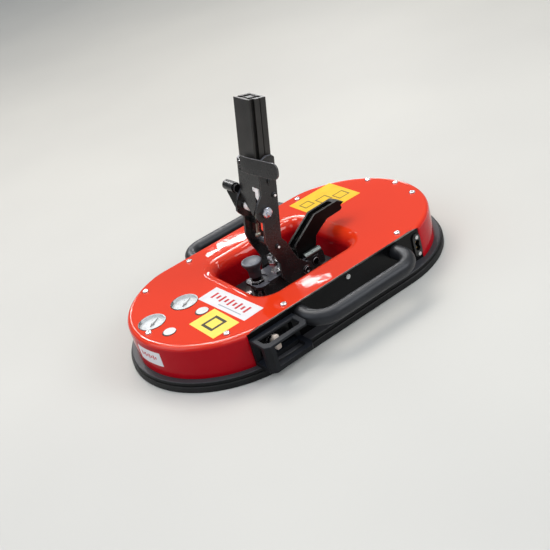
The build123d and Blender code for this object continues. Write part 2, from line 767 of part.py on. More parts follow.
with BuildPart() as stop_nuts:
    for low in (pad_top, stop_bolt_top - stop_head - 2 * nut_height):
        with BuildSketch(stop_plane.offset(low)):
            RegularPolygon(7.2, 6)
            Circle(stop_thread, mode=Mode.SUBTRACT)
        extrude(amount=nut_height)
save(stop_nuts, "stop_nuts")

# Tilt axle with its brake drum and end screws
axle_ends = (axle_plane.offset(plate_outer), Plane((axle_x, plate_outer, axle_z), z_dir=(0, 1, 0)))
with BuildPart() as tilt_axle:
    with Locations(axle_plane):
        Cylinder(axle_radius, 2 * plate_outer)
    with Locations(*axle_ends):
        Hole(2.6, depth=14)
save(tilt_axle, "tilt_axle")

with BuildPart() as brake_drum:
    with Locations(axle_plane):
        Cylinder(drum_radius, 2 * lever_half_width + 1.0)
        Cylinder(axle_radius, 30.0, mode=Mode.SUBTRACT)
save(brake_drum, "brake_drum")

with BuildPart() as axle_screws:
    for end in axle_ends:
        with Locations(end):
            Cylinder(5.6, 4.0, align=seat)
            Cylinder(2.6, 12.0, align=hang)
        with BuildSketch(end.offset(4.0)):
            RegularPolygon(3.2, 6)
        extrude(amount=-2.4, mode=Mode.SUBTRACT)
save(axle_screws, "axle_screws")

# Tilt lever on a cross pin: a channel open at the top, with a brake shoe over the drum
lever_outline = [
    (37.0, 37.5), (26.0, 41.0), (22.5, 47.5), (23.0, 67.5), (69.0, 97.3), (112.0, 98.4), (123.5, 91.5),
    (117.0, 89.0), (118.0, 84.0), (114.5, 81.5), (88.0, 80.5), (75.0, 73.3), (62.0, 65.0), (59.0, 54.7),
    (51.0, 38.0), (46.0, 30.0),
]
brake_gap = 0.35
channel_half = 5.5
channel_outline = [(17.9, 57.1), (71.0, 91.4), (106.0, 92.3), (106.0, 104.0), (60.0, 104.0), (10.0, 70.0)]
with BuildPart() as tilt_lever:
    with BuildSketch(Plane.XZ.offset(-lever_half_width)):
        with BuildLine():
            Polyline(*lever_outline, close=True)
        make_face()
        with Locations((lever_pivot_x, lever_pivot_z)):
            Circle(8.5)
            Circle(lever_pin_radius + running_clearance, mode=Mode.SUBTRACT)
        with Locations((axle_x, axle_z)):
            Circle(drum_radius + brake_gap, mode=Mode.SUBTRACT)
    extrude(amount=2 * lever_half_width)
    with BuildSketch(Plane.XZ.offset(-channel_half)):
        with BuildLine():
            Polyline(*channel_outline, close=True)
        make_face()
    extrude(amount=2 * channel_half, mode=Mode.SUBTRACT)
save(tilt_lever, "tilt_lever")

with BuildPart() as lever_pin:
    with Locations(lever_plane):
        Cylinder(lever_pin_radius, 2 * bracket_half_width)
    with Locations(lever_plane.offset(bracket_half_width)):
        Cylinder(5.5, 1.6, align=seat)
    with Locations(lever_plane.offset(-bracket_half_width)):
        Cylinder(5.5, 1.6, align=hang)
save(lever_pin, "lever_pin")

# Two arm plates: straight strip, ear for the release shaft, kinked foot with the axle eye
plate_outline = [
    (-neck_half, 175.0), (0.0, 183.0), (10.0, 183.0), (neck_half, 179.5), (neck_half, 60.0), (21.3, 51.9),
    (38.5, 21.7), (mast_offset, 12.0), (mast_offset, -12.0), (22.0, -12.0), (9.0, 0.0), (8.0, 21.5),
    (-7.6, 45.9), (-neck_half, 60.0), (-neck_half, 88.5), (-19.5, 93.0), (-24.0, 98.5), (-24.0, 111.0),
    (-19.5, 120.5), (-neck_half, 129.0),
]
for name, start in (("front", plate_inner), ("rear", -plate_outer)):
    with BuildPart() as arm_plate:
        with BuildSketch(mast_side.offset(start)):
            with BuildLine():
                Polyline(*plate_outline, close=True)
            make_face()
            with Locations((mast_offset, 0)):
                Circle(12.0)
                Circle(axle_radius, mode=Mode.SUBTRACT)
            with Locations((shaft_x, shaft_u)):
                Circle(15.0)
                Circle(shaft_radius + running_clearance, mode=Mode.SUBTRACT)
            with Locations(*mast_bolt_points, stop_bar_point):
                Circle(bolt_radius, mode=Mode.SUBTRACT)
        extrude(amount=plate_thickness)
    save(arm_plate, f"{name}_arm_plate")

# Mast: grooved extrusion with two chambers, drilled from the top for two end screws
with BuildPart() as mast:
    with BuildSketch(mast_frame.offset(mast_low)):
        RectangleRounded(2 * mast_half_x, 2 * mast_half_y, 1.2)
        with Locations((0, 9.5), (0, -9.5)):
            Rectangle(20.0, 8.0, mode=Mode.SUBTRACT)
        with Locations((-8.6, mast_half_y), (-8.6, -mast_half_y)):
            Rectangle(6.2, 9.0, mode=Mode.SUBTRACT)
        with Locations((3.4, mast_half_y), (3.4, -mast_half_y)):
            Rectangle(1.4, 2.4, mode=Mode.SUBTRACT)
    extrude(amount=mast_high - mast_low)
    with BuildSketch(mast_frame.offset(mast_high)):
        with Locations((core_bore_offset, 0), (-core_bore_offset, 0)):
            Circle(core_bore_radius)
    extrude(amount=-core_bore_depth, mode=Mode.SUBTRACT)
    with BuildSketch(mast_side.offset(-mast_half_y)):
        with Locations(*mast_bolt_points):
            Circle(bolt_radius)
    extrude(amount=2 * mast_half_y, mode=Mode.SUBTRACT)
save(mast, "mast")

# Shims beside the mast; the front one is bent around the corner, and its hooked end shows in the web's notch
web_outer = -mast_half_x - web_thickness
web_face = Plane(origin=mast_frame.from_local_coords((web_outer, 0, 0)), x_dir=(0, 1, 0), z_dir=mast_x_dir)
notch_y = -9.0
notch_low_y = -15.0
notch_high = 140.0
notch_step = 133.0
notch_low = 118.0
notch_gap = 0.6
hook_high = notch_high - notch_gap
hook_low = notch_low + 2.0
with BuildPart() as mast_shims:
    with BuildSketch(mast_side.offset(mast_half_y), mast_side.offset(-plate_inner)):
        with Locations((4.5, 145.0)):
            Rectangle(14.0, 52.0)
        with Locations(*mast_bolt_points):
            Circle(bolt_radius, mode=Mode.SUBTRACT)
    extrude(amount=plate_inner - mast_half_y)
    with BuildSketch(mast_side.offset(mast_half_y)):
        with BuildLine():
            Polyline((0, hook_high), (web_outer, hook_high), (web_outer, hook_low), (0, hook_low), close=True)
        make_face()
        with Locations(*mast_bolt_points):
            Circle(bolt_radius, mode=Mode.SUBTRACT)
    extrude(amount=plate_inner - mast_half_y)
    with BuildSketch(web_face):
        with BuildLine():
            Polyline((-plate_inner, hook_high), (notch_y - notch_gap, hook_high),
                     (notch_y - notch_gap, notch_step + 2.0), (notch_low_y - notch_gap, notch_step + 0.4),
                     (notch_low_y - notch_gap, hook_low + 6.0), (-plate_inner, hook_low), close=True)
        make_face()
        with Locations((notch_y - 3.6, notch_high - 3.4)):
            Circle(1.1, mode=Mode.SUBTRACT)
    extrude(amount=web_thickness)
save(mast_shims, "mast_shims")

# Cross bolts through the plates: two hold the mast and one holds the stop bar
cross_bolt_points = [*mast_bolt_points, stop_bar_point]
bolt_head = 2.2
pip = 0.6
pip_base = plate_outer + bolt_head
with BuildPart() as cross_bolts:
    with BuildSketch(mast_side.offset(-plate_outer)):
        with Locations(*cross_bolt_points):
            Circle(bolt_radius)
    extrude(amount=2 * plate_outer)
    with BuildSketch(mast_side.offset(plate_outer), mast_side.offset(-plate_outer - bolt_head)):
        with Locations(*cross_bolt_points):
            Circle(4.0)
    extrude(amount=bolt_head)
    with BuildSketch(mast_side.offset(pip_base), mast_side.offset(-pip_base - pip)):
        with Locations(*cross_bolt_points):
            Circle(1.7)
    extrude(amount=pip)
save(cross_bolts, "cross_bolts")

with BuildPart() as stop_bar:
    with BuildSketch(mast_side.offset(-plate_inner)):
        with Locations(stop_bar_point):
            Circle(5.0)
            Circle(bolt_radius, mode=Mode.SUBTRACT)
    extrude(amount=2 * plate_inner)
save(stop_bar, "stop_bar")

# Web plate across the front of the mast, with its pointed tongue, hooked notch and hinge knuckles
knuckle_height = 5.0
hinge_low = 160.0
with BuildPart() as mast_web:
    with BuildSketch(web_face):
        with BuildLine():
            Polyline((plate_inner, 175.0), (-plate_outer, 175.0), (-plate_outer, notch_high),
                     (notch_y, notch_high), (notch_y, notch_step + 1.0), (notch_low_y, notch_step),
                     (notch_low_y, notch_low), (-5.0, 96.0), (plate_inner - 2.0, 119.0),
                     (plate_inner - 2.0, 136.0), (plate_inner, 136.0), close=True)
        make_face()
    extrude(amount=web_thickness)
    with BuildSketch(mast_frame.offset(hinge_low), mast_frame.offset(hinge_low + 2 * knuckle_height)):
        with Locations((latch_x, latch_y)):
            Circle(latch_knuckle)
        with Locations(((latch_x + web_outer) / 2, latch_y)):
            Rectangle(web_outer - latch_x, 2 * latch_knuckle)
        with Locations((latch_x, latch_y)):
            Circle(latch_pin_radius, mode=Mode.SUBTRACT)
    extrude(amount=knuckle_height)
save(mast_web, "mast_web")

with BuildPart() as latch_pin:
    with BuildSketch(mast_frame.offset(hinge_low)):
        with Locations((latch_x, latch_y)):
            Circle(latch_pin_radius)
    extrude(amount=3 * knuckle_height)
save(latch_pin, "latch_pin")

# Latch: bent strap hinged on the web, its long tab reaching forward
strap_low = 160.0
strap_height = 23.0
strap_thickness = 2.2
strap_back = latch_x - 2.0
strap_inner = strap_back + strap_thickness
knuckle_gap = 0.3
with BuildPart() as latch_strap:
    with BuildSketch(mast_frame.offset(strap_low)):
        with BuildLine():
            Polyline((strap_back, latch_y - 3.0), (strap_back, -12.0), (-13.5, -72.5), (-11.3, -72.2),
                     (strap_inner, -11.8), (strap_inner, latch_y - 3.0), close=True)
        make_face()
    extrude(amount=strap_height)
    short_edges = latch_strap.edges().filter_by(lambda e: e.length < 1.2 * strap_thickness)
    fillet(short_edges.sort_by(Axis.Y)[:2], 10.0)
    with BuildSketch(mast_frame.offset(hinge_low + knuckle_height + knuckle_gap)):
        with Locations((latch_x, latch_y)):
            Circle(latch_knuckle)
        with BuildLine():
            Polyline((strap_back, latch_y), (strap_back, latch_y - 4.0), (strap_inner, latch_y - 4.0),
                     (strap_inner, latch_y), close=True)
        make_face()
        with Locations((latch_x, latch_y)):
            Circle(latch_pin_radius + running_clearance, mode=Mode.SUBTRACT)
    extrude(amount=knuckle_height - 2 * knuckle_gap)
save(latch_strap, "latch_strap")

# Release shaft through both ears with its welded lifting fork, then crank with a wide paddle, grip and nut
side_gap = 0.4
crank_low = plate_outer + side_gap
crank_thickness = 5.0
crank_outer = crank_low + crank_thickness
grip_x = -17.0
grip_u = 130.5
grip_radius = 7.5
paddle_thickness = 3.0
paddle_front = grip_x - paddle_thickness / 2
paddle_end = 55.0
paddle_low = 98.0
paddle_origin = mast_frame.from_local_coords((paddle_front, 0, 0))
paddle_face = Plane(origin=paddle_origin, x_dir=(0, 1, 0), z_dir=mast_x_dir)
fork_width = 9.0
fork_half_height = 2.5
fork_reach = 12.5
with BuildPart() as release_shaft:
    with BuildSketch(mast_side.offset(crank_low)):
        with Locations((shaft_x, shaft_u)):
            RegularPolygon(8.4, 6)
    extrude(amount=5.5)
    chamfer(release_shaft.edges().group_by(Axis.Y)[0], 1.2)
    with BuildSketch(mast_side.offset(crank_low)):
        with Locations((shaft_x, shaft_u)):
            Circle(3.2)
    extrude(amount=7.0)
    chamfer(release_shaft.edges().group_by(Axis.Y)[0], 0.8)
    with BuildSketch(mast_side.offset(crank_low)):
        with Locations((shaft_x, shaft_u)):
            Circle(shaft_radius)
    extrude(amount=-(crank_low + crank_outer + 6.0))
    with BuildSketch(mast_side.offset(-rod_y - fork_width / 2)):
        with Locations((shaft_x, shaft_u)):
            Circle(6.5)
        with Locations((shaft_x + fork_reach / 2, shaft_u)):
            Rectangle(fork_reach, 2 * fork_half_height)
    extrude(amount=fork_width)
    with BuildSketch(mast_frame.offset(shaft_u - fork_half_height - 5.0)):
        with Locations((rod_x + 3.4, rod_y)):
            Rectangle(14.0, 2 * rod_radius + 1.0)
    extrude(amount=2 * fork_half_height + 10.0, mode=Mode.SUBTRACT)
save(release_shaft, "release_shaft")

with BuildPart() as release_crank:
    with BuildSketch(mast_side.offset(-crank_outer)):
        with Locations((shaft_x, shaft_u)):
            Circle(11.0)
        with BuildLine():
            Polyline((paddle_front, shaft_u), (paddle_front, grip_u), (grip_x + 6.0, grip_u),
                     (shaft_x + 10.8, shaft_u + 2.0), close=True)
        make_face()
        with Locations((grip_x, grip_u)):
            Circle(6.0)
        with Locations((shaft_x, shaft_u)):
            Circle(shaft_radius, mode=Mode.SUBTRACT)
    extrude(amount=crank_thickness)
    with BuildSketch(paddle_face):
        with BuildLine():
            Polyline((crank_low, paddle_low), (crank_outer + 2.0, paddle_low), (paddle_end, grip_u - 10.0),
                     (paddle_end, grip_u), (crank_low, grip_u), close=True)
        make_face()
    extrude(amount=paddle_thickness)
save(release_crank, "release_crank")

with BuildPart() as release_grip:
    with BuildSketch(mast_side.offset(-crank_outer)):
        with Locations((grip_x, grip_u)):
            Circle(grip_radius)
    extrude(amount=-(paddle_end + 3.4 - crank_outer))
    fillet(release_grip.edges().group_by(Axis.Y)[-1], 3.0)
    with BuildSketch(paddle_face):
        with Locations(((crank_outer + paddle_end) / 2, grip_u - grip_radius)):
            Rectangle(paddle_end - crank_outer, 2 * grip_radius)
    extrude(amount=paddle_thickness, mode=Mode.SUBTRACT)
save(release_grip, "release_grip")

with BuildPart() as release_nut:
    with BuildSketch(mast_side.offset(-crank_outer)):
        with Locations((shaft_x, shaft_u)):
            RegularPolygon(7.2, 6, rotation=30)
            Circle(shaft_radius, mode=Mode.SUBTRACT)
    extrude(amount=-5.0)
save(release_nut, "release_nut")

# Pull rod with its collar over the fork and a ball at the lower end
rod_low = 58.0
collar_low = shaft_u + fork_half_height + 0.6
collar_height = 3.0
rod_center = Plane(origin=mast_frame.from_local_coords((rod_x, rod_y, 0)), x_dir=mast_x_dir, z_dir=mast_z_dir)
with BuildPart() as pull_rod:
    with BuildSketch(rod_center.offset(rod_low)):
        Circle(rod_radius)
    extrude(amount=collar_low + collar_height - rod_low)
    with BuildSketch(rod_center.offset(collar_low)):
        Circle(3.9)
    extrude(amount=collar_height)
    with Locations(rod_center.offset(rod_low)):
        Sphere(4.4)
save(pull_rod, "pull_rod")

guide_low = 77.0
with BuildPart() as rod_guide:
    with BuildSketch(mast_frame.offset(guide_low)):
        with Locations((rod_x, (rod_y - 5.0 + plate_inner) / 2)):
            Rectangle(10.0, plate_inner - rod_y + 5.0)
        with Locations((rod_x, rod_y)):
            Circle(rod_radius + running_clearance, mode=Mode.SUBTRACT)
    extrude(amount=6.0)
save(rod_guide, "rod_guide")
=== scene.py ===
# %% [markdown]
# # A battery suction lifter
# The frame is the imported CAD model: sixty named pieces that already have their true shapes and places.
# This lesson softens the hard edges, prints the labels and dials, and gives every piece a finish that
# belongs to its real material. Everything is in metres, and Z points up from the sheet that the head
# stands on. A size that a maker would give in millimetres is multiplied by mm.

# %% Frame
import json
import math

import bmesh
import bpy
from mathutils import Matrix, Vector


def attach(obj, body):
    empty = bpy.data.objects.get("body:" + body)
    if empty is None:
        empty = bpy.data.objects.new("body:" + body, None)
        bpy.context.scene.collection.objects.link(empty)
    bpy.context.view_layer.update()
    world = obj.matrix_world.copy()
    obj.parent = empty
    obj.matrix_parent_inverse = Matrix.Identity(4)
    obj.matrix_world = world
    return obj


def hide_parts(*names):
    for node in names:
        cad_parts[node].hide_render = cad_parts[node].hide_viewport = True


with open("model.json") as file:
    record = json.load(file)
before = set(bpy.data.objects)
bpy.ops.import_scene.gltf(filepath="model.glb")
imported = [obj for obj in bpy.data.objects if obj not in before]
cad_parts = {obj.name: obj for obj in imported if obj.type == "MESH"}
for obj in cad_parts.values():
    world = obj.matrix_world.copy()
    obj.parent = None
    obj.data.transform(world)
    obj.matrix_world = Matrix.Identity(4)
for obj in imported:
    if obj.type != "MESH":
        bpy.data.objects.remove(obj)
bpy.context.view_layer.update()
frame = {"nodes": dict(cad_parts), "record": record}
node_body = {node: body for body, nodes in frame["record"]["behaviour"]["bodies"].items() for node in nodes}
mm = 0.001

# %% [markdown]
# ## Camera
# The viewpoint was found by fitting a pinhole camera to the head's long outline. A camera in Blender
# looks along its own -Z, so its matrix holds three columns: right, up and the way back to the viewer.
# The matrix is written from three angles, because the picture leans by 17 degrees and a camera that
# tracks a point would stand level.

# %% Camera
azimuth, elevation, roll = math.radians(-28.25), math.radians(28.69), math.radians(-16.89)
viewpoint = (-0.6257, -1.1303, 0.7404)
back = Vector((math.sin(azimuth) * math.cos(elevation), -math.cos(azimuth) * math.cos(elevation),
               math.sin(elevation)))
right = Matrix.Rotation(roll, 3, back) @ Vector((math.cos(azimuth), math.sin(azimuth), 0))
camera_data = bpy.data.cameras.new("camera")
camera_data.sensor_width = 36
camera_data.lens = 65.45
camera = bpy.data.objects.new("camera", camera_data)
bpy.context.scene.collection.objects.link(camera)
axes = Matrix((right, back.cross(right), back)).transposed()
camera.matrix_world = Matrix.Translation(viewpoint) @ axes.to_4x4()
bpy.context.scene.camera = camera
print("camera looks along", [round(v, 3) for v in -back])

# %% [markdown]
# ## Colours and nodes
# Colours are written as sRGB hex values, as a paint chart gives them, and one function makes them
# linear. Another adds any shader node. It takes what goes into the node's sockets, the stops if the
# node is a colour ramp, and the node's settings, and it hands on one output. A socket takes a number, a
# colour or such an output, so a material reads from the pattern to the shader. Values that are the same
# all over a surface go straight on the shader.

# %% Colours and nodes
def paint(code):
    """A hex colour as linear red, green, blue and alpha."""
    values = [int(code[i:i + 2], 16) / 255 for i in (1, 3, 5)]
    linear = [v / 12.92 if v <= 0.04045 else ((v + 0.055) / 1.055) ** 2.4 for v in values]
    return (*linear, 1.0)


def fill(tree, node, sockets):
    """Put a number, a colour or another node's output into each named socket."""
    for name, value in sockets.items():
        if isinstance(value, bpy.types.NodeSocket):
            tree.links.new(value, node.inputs[name])
        else:
            node.inputs[name].default_value = value


def add(tree, kind, sockets={}, out=0, stops=(), **settings):
    """Add one shader node with its settings and links, and hand on one of its outputs."""
    node = tree.nodes.new("ShaderNode" + kind)
    for name, value in settings.items():
        setattr(node, name, value)
    for i, (at, code) in enumerate(stops):
        element = node.color_ramp.elements[i] if i < 2 else node.color_ramp.elements.new(at)
        element.position = at
        element.color = paint(code)
    fill(tree, node, sockets)
    return node if out is None else node.outputs[out]


def finish_of(name, **steady):
    """A new material with one Principled shader, and the Object coordinates that its patterns read."""
    material = bpy.data.materials.new(name)
    material.use_nodes = True
    tree = material.node_tree
    tree.nodes.clear()
    sockets = {socket.replace("_", " "): value for socket, value in steady.items()}
    shader = add(tree, "BsdfPrincipled", sockets, None)
    add(tree, "OutputMaterial", {"Surface": shader.outputs["BSDF"]}, None)
    return material, tree, shader, add(tree, "TexCoord", out="Object")


print("white is", paint("#FFFFFF"))

# %% [markdown]
# ## Gloss red enamel
# The cover is drawn sheet metal with a thick gloss enamel. Enamel flows before it hardens, which leaves
# a faint orange peel of waves 2 to 3 mm wide, and the sheet itself sags a little between its screws, so
# reflections wander. The waves could be modelled, but they are thinner than a hair, so three sizes of
# noise are added and tilt the light instead. The enamel is one red, but painted light is added to it: the
# flat top is painted a warmer, lighter red and the walls a deeper crimson, by the way that a face looks up.

# %% Red enamel
def looking_up(tree, low=0.0, high=1.0):
    """How far a face looks up: 0 where its normal's rise is low, 1 where it is high."""
    rise = add(tree, "SeparateXYZ", {"Vector": add(tree, "TexCoord", out="Normal")}, "Z")
    return add(tree, "MapRange", {"Value": rise, "From Min": low, "From Max": high})


# Enamel gives the eye a wet, deep red, and crisp reflections that bend where the sheet isn't quite flat.
enamel, tree, shader, place = finish_of("gloss_red_enamel", IOR=1.45, Coat_Weight=0.10, Coat_Roughness=0.04)
cloud = add(tree, "TexNoise", {"Vector": place, "Scale": 1 / (90 * mm), "Detail": 2.0})
# Painted light: a face that looks up gets the lighter top red, and a wall gets the painted shade of deep
# crimson.
shade = add(tree, "Math", {0: cloud, 1: 0.12, 2: looking_up(tree)}, operation="MULTIPLY_ADD")
lip = looking_up(tree, 0.0, 0.5)
smear = add(tree, "TexNoise", {"Vector": place, "Scale": 1 / (14 * mm), "Detail": 4.0})
peel = add(tree, "TexNoise", {"Vector": place, "Scale": 1 / (2.6 * mm), "Detail": 1.0})
dents = add(tree, "TexNoise", {"Vector": place, "Scale": 1 / (17 * mm), "Detail": 1.0})
sag = add(tree, "TexNoise", {"Vector": place, "Scale": 1 / (45 * mm), "Detail": 0.0})
peel_depth, dents_to_peel, sag_to_peel = 0.005 * mm, 20.0, 60.0
waves = add(tree, "Math", {0: sag, 1: sag_to_peel, 2: peel}, operation="MULTIPLY_ADD")
waves = add(tree, "Math", {0: dents, 1: dents_to_peel, 2: waves}, operation="MULTIPLY_ADD")
fill(tree, shader, {
    "Base Color": add(tree, "ValToRGB", {"Fac": shade},
                      stops=[(0.05, "#AA0719"), (0.95, "#E43A1A"), (0.45, "#D2211C")]),
    "Specular IOR Level": add(tree, "MapRange", {"Value": lip, "To Min": 0.07, "To Max": 0.44}),
    "Roughness": add(tree, "MapRange", {"Value": smear, "To Min": 0.02, "To Max": 0.04}),
    "Normal": add(tree, "Bump", {"Height": waves, "Strength": 0.5, "Distance": peel_depth}),
})
print("made", enamel.name, "with", len(tree.nodes), "nodes")

# %% [markdown]
# ## Black lacquer, mouldings and grips
# Five blacks sit side by side on this tool, and they differ in gloss and grain more than in colour.
# Three are here: lacquer on the side panels, moulded plastic on the rim and on the toggle's guard, and
# a soft-touch skin on the grips. A moulding's spark-eroded texture is about 0.2 mm, too fine for this
# picture, so it is drawn at 0.8 to 0.9 mm. A moulding's upper faces are painted paler than its walls,
# partly for dust and partly as painted light from above.

# %% Black lacquer, mouldings and grips
# Lacquer gives a black mirror that is sharp in one patch and hazy in the next.
lacquer, tree, shader, place = finish_of("gloss_black_lacquer", IOR=1.5, Specular_IOR_Level=0.16)
haze = add(tree, "TexNoise", {"Vector": place, "Scale": 1 / (22 * mm), "Detail": 5.0})
flow_marks = add(tree, "TexNoise", {"Vector": place, "Scale": 1 / (3.0 * mm), "Detail": 1.0})
fill(tree, shader, {
    "Base Color": add(tree, "ValToRGB", {"Fac": haze}, stops=[(0.3, "#060607"), (0.75, "#0E0F11")]),
    "Roughness": add(tree, "MapRange", {"Value": haze, "To Min": 0.12, "To Max": 0.30}),
    "Normal": add(tree, "Bump", {"Height": flow_marks, "Strength": 0.06, "Distance": 0.04 * mm}),
})


def moulding(name, low, high, top, level):
    """Black moulded plastic: two close tones, a fine texture, and a paler top colour on what looks up, for
    settled dirt and painted light.
    """
    material, tree, shader, place = finish_of(name, IOR=1.48, Specular_IOR_Level=level)
    dust_and_sheen = add(tree, "TexNoise", {"Vector": place, "Scale": 1 / (35 * mm), "Detail": 5.0})
    skin = add(tree, "ValToRGB", {"Fac": dust_and_sheen}, stops=[(0.3, low), (0.8, high)])
    texture = add(tree, "TexNoise", {"Vector": place, "Scale": 1 / (0.9 * mm), "Detail": 2.0})
    fill(tree, shader, {
        # Painted light, with some dust: upward faces mix towards the top colour.
        "Base Color": add(tree, "Mix", {"Factor": looking_up(tree, 0.4, 1.6), 6: skin, 7: paint(top)}, 2,
                          data_type="RGBA"),
        "Roughness": add(tree, "MapRange", {"Value": dust_and_sheen, "To Min": 0.36, "To Max": 0.50}),
        "Normal": add(tree, "Bump", {"Height": texture, "Strength": 0.16, "Distance": 0.05 * mm}),
    })
    return material


# The rim is a dull black whose level ledge is painted grey, partly dust and partly painted light from above.
# The guard is duller still, and its top is painted a little bluer: painted light from the sky.
moulded = moulding("moulded_black_rim", "#08090A", "#101215", "#55565C", 0.24)
guard_black = moulding("moulded_black_guard", "#141517", "#202226", "#1C212B", 0.12)

# A soft-touch skin spreads each highlight into a long grey band, and hands rub it smoother in patches.
grip_skin, tree, shader, place = finish_of("soft_touch_grip", IOR=1.47, Specular_IOR_Level=0.50,
                                           Specular_Tint=paint("#E6EAF2"))
rub = add(tree, "TexNoise", {"Vector": place, "Scale": 1 / (28 * mm), "Detail": 4.0})
texture = add(tree, "TexNoise", {"Vector": place, "Scale": 1 / (0.8 * mm), "Detail": 2.0})
fill(tree, shader, {
    "Base Color": add(tree, "ValToRGB", {"Fac": rub}, stops=[(0.3, "#131417"), (0.8, "#212327")]),
    "Roughness": add(tree, "MapRange", {"Value": rub, "To Min": 0.39, "To Max": 0.47}),
    "Normal": add(tree, "Bump", {"Height": texture, "Strength": 0.08, "Distance": 0.04 * mm}),
})
print("made", lacquer.name, moulded.name, guard_black.name, grip_skin.name)

# %% [markdown]
# ## Powder coat and anodising
# The other two blacks are on metal. The steel plates are powder coated: a baked plastic dust with an
# eggshell grain. Its real grain is about 0.3 mm, so it is drawn at 1.1 mm to show. Pieces with softened
# edges carry a value on those narrow faces, and the coat turns pale there: partly steel rubbed bare,
# partly a painted glint along the edge. The mast is an extruded profile with a black anodised skin. Fine
# die lines run along it, drawn 0.6 mm apart so that they show. Their pattern is turned by 12 degrees,
# because the mast leans by that much at rest.

# %% Powder coat and anodising
def powder(name, low, high, dust_and_sheen, edge, rough, level):
    """Powder coat: two close tones, a paler colour on level faces for dirt and painted light, and pale edges
    for wear and a painted glint.
    """
    material, tree, shader, place = finish_of(name, IOR=1.5, Specular_IOR_Level=level)
    patch = add(tree, "TexNoise", {"Vector": place, "Scale": 1 / (18 * mm), "Detail": 5.0})
    tone = add(tree, "ValToRGB", {"Fac": patch}, stops=[(0.3, low), (0.8, high)])
    upward = looking_up(tree, 0.5, 1.5)
    # Level faces mix towards the paler colour: some dust, and painted light from above.
    coat = add(tree, "Mix", {"Factor": upward, 6: tone, 7: paint(dust_and_sheen)}, 2, data_type="RGBA")
    wear_and_glint = add(tree, "Attribute", out="Fac", attribute_name="wear_and_glint")
    scuffs = add(tree, "TexNoise", {"Vector": place, "Scale": 1 / (5 * mm), "Detail": 3.0})
    rubbed = add(tree, "MapRange", {"Value": scuffs, "To Min": 0.2, "To Max": 1.0})
    # Painted glints, with some wear: the softened edges turn pale.
    bare_and_glint = add(tree, "Math", {0: wear_and_glint, 1: rubbed}, operation="MULTIPLY")
    eggshell = add(tree, "TexNoise", {"Vector": place, "Scale": 1 / (1.1 * mm), "Detail": 2.0})
    fill(tree, shader, {
        "Base Color": add(tree, "Mix", {"Factor": bare_and_glint, 6: coat, 7: paint(edge)}, 2, data_type="RGBA"),
        "Roughness": add(tree, "MapRange", {"Value": patch, "To Min": rough, "To Max": rough + 0.14}),
        "Normal": add(tree, "Bump", {"Height": eggshell, "Strength": 0.18, "Distance": 0.05 * mm}),
    })
    return material


# The plates are a warm black with a broad sheen. The turntable's coat is painted darker: painted shade of the
# well.
# The lever's coat is the blackest, and its pale edge lines are painted glints, with some wear.
coated = powder("black_powder_coat", "#171718", "#262525", "#7F818C", "#8C8A88", 0.20, 0.45)
table_coat = powder("dark_turntable_coat", "#0E0E0F", "#181818", "#232428", "#8C8A88", 0.26, 0.3)
gloss_coat = powder("gloss_black_lever_coat", "#080808", "#101010", "#0B0B0D", "#C8C8C8", 0.30, 0.09)

# Anodising keeps the metal's shine under a charcoal tint, drawn out lengthwise by the die lines.
mast_lean = math.radians(12.0)
anodised, tree, shader, place = finish_of("black_anodised_mast", Metallic=0.55)
along = add(tree, "Mapping", {"Vector": place, "Rotation": (0, mast_lean, 0),
                              "Scale": (1 / (0.6 * mm), 1 / (0.6 * mm), 1 / (90 * mm))})
die_lines = add(tree, "TexNoise", {"Vector": along, "Scale": 1.0, "Detail": 2.0})
tint = add(tree, "TexNoise", {"Vector": place, "Scale": 1 / (40 * mm), "Detail": 4.0})
fill(tree, shader, {
    "Base Color": add(tree, "ValToRGB", {"Fac": tint}, stops=[(0.3, "#302F2E"), (0.8, "#413F3D")]),
    "Roughness": add(tree, "MapRange", {"Value": die_lines, "To Min": 0.30, "To Max": 0.46}),
    "Normal": add(tree, "Bump", {"Height": die_lines, "Strength": 0.10, "Distance": 0.02 * mm}),
})
print("made", coated.name, table_coat.name, gloss_coat.name, anodised.name)

# %% [markdown]
# ## Bright metals
# Screws and pins are zinc plated in a bath that takes unevenly, which leaves soft blotches about 5 mm
# wide. Steel that is turned, rolled or oiled differs mostly in tone and roughness, so one function
# makes them all. The fine handling marks are drawn at 0.7 mm, coarser than real ones, so that they
# show.

# %% Bright metals
def plated(name, low, high, rough):
    """A metal with blotches between two tones, fine handling marks, and edges painted pale for wear and
    glints.
    """
    material, tree, shader, place = finish_of(name, Metallic=1.0)
    blotch = add(tree, "TexNoise", {"Vector": place, "Scale": 1 / (5 * mm), "Detail": 4.0})
    tone = add(tree, "ValToRGB", {"Fac": blotch}, stops=[(0.3, low), (0.75, high)])
    # The softened edges are painted near white: partly wear, partly a painted glint on each rim.
    wear_and_glint = add(tree, "Attribute", out="Fac", attribute_name="wear_and_glint")
    marks = add(tree, "TexNoise", {"Vector": place, "Scale": 1 / (0.7 * mm), "Detail": 2.0})
    fill(tree, shader, {
        "Base Color": add(tree, "Mix", {"Factor": wear_and_glint, 6: tone, 7: paint("#C4C4C6")}, 2, data_type="RGBA"),
        "Roughness": add(tree, "MapRange", {"Value": blotch, "To Min": rough, "To Max": rough + 0.14}),
        "Normal": add(tree, "Bump", {"Height": marks, "Strength": 0.08, "Distance": 0.02 * mm}),
    })
    return material, tree, shader, place


# Black oxide: nearly black, with a dull oily shine.
oxide = plated("black_oxide_steel", "#0E0E0F", "#1D1D1F", 0.28)[0]
# Bright zinc: white sparkle with cloudy patches. Blue zinc: the same with a blue and pink bloom.
zinc = plated("bright_zinc_plate", "#B9BBBE", "#E2E3E4", 0.20)[0]
blue_zinc = plated("blue_passivated_zinc", "#9FB0C4", "#E9DADB", 0.16)[0]
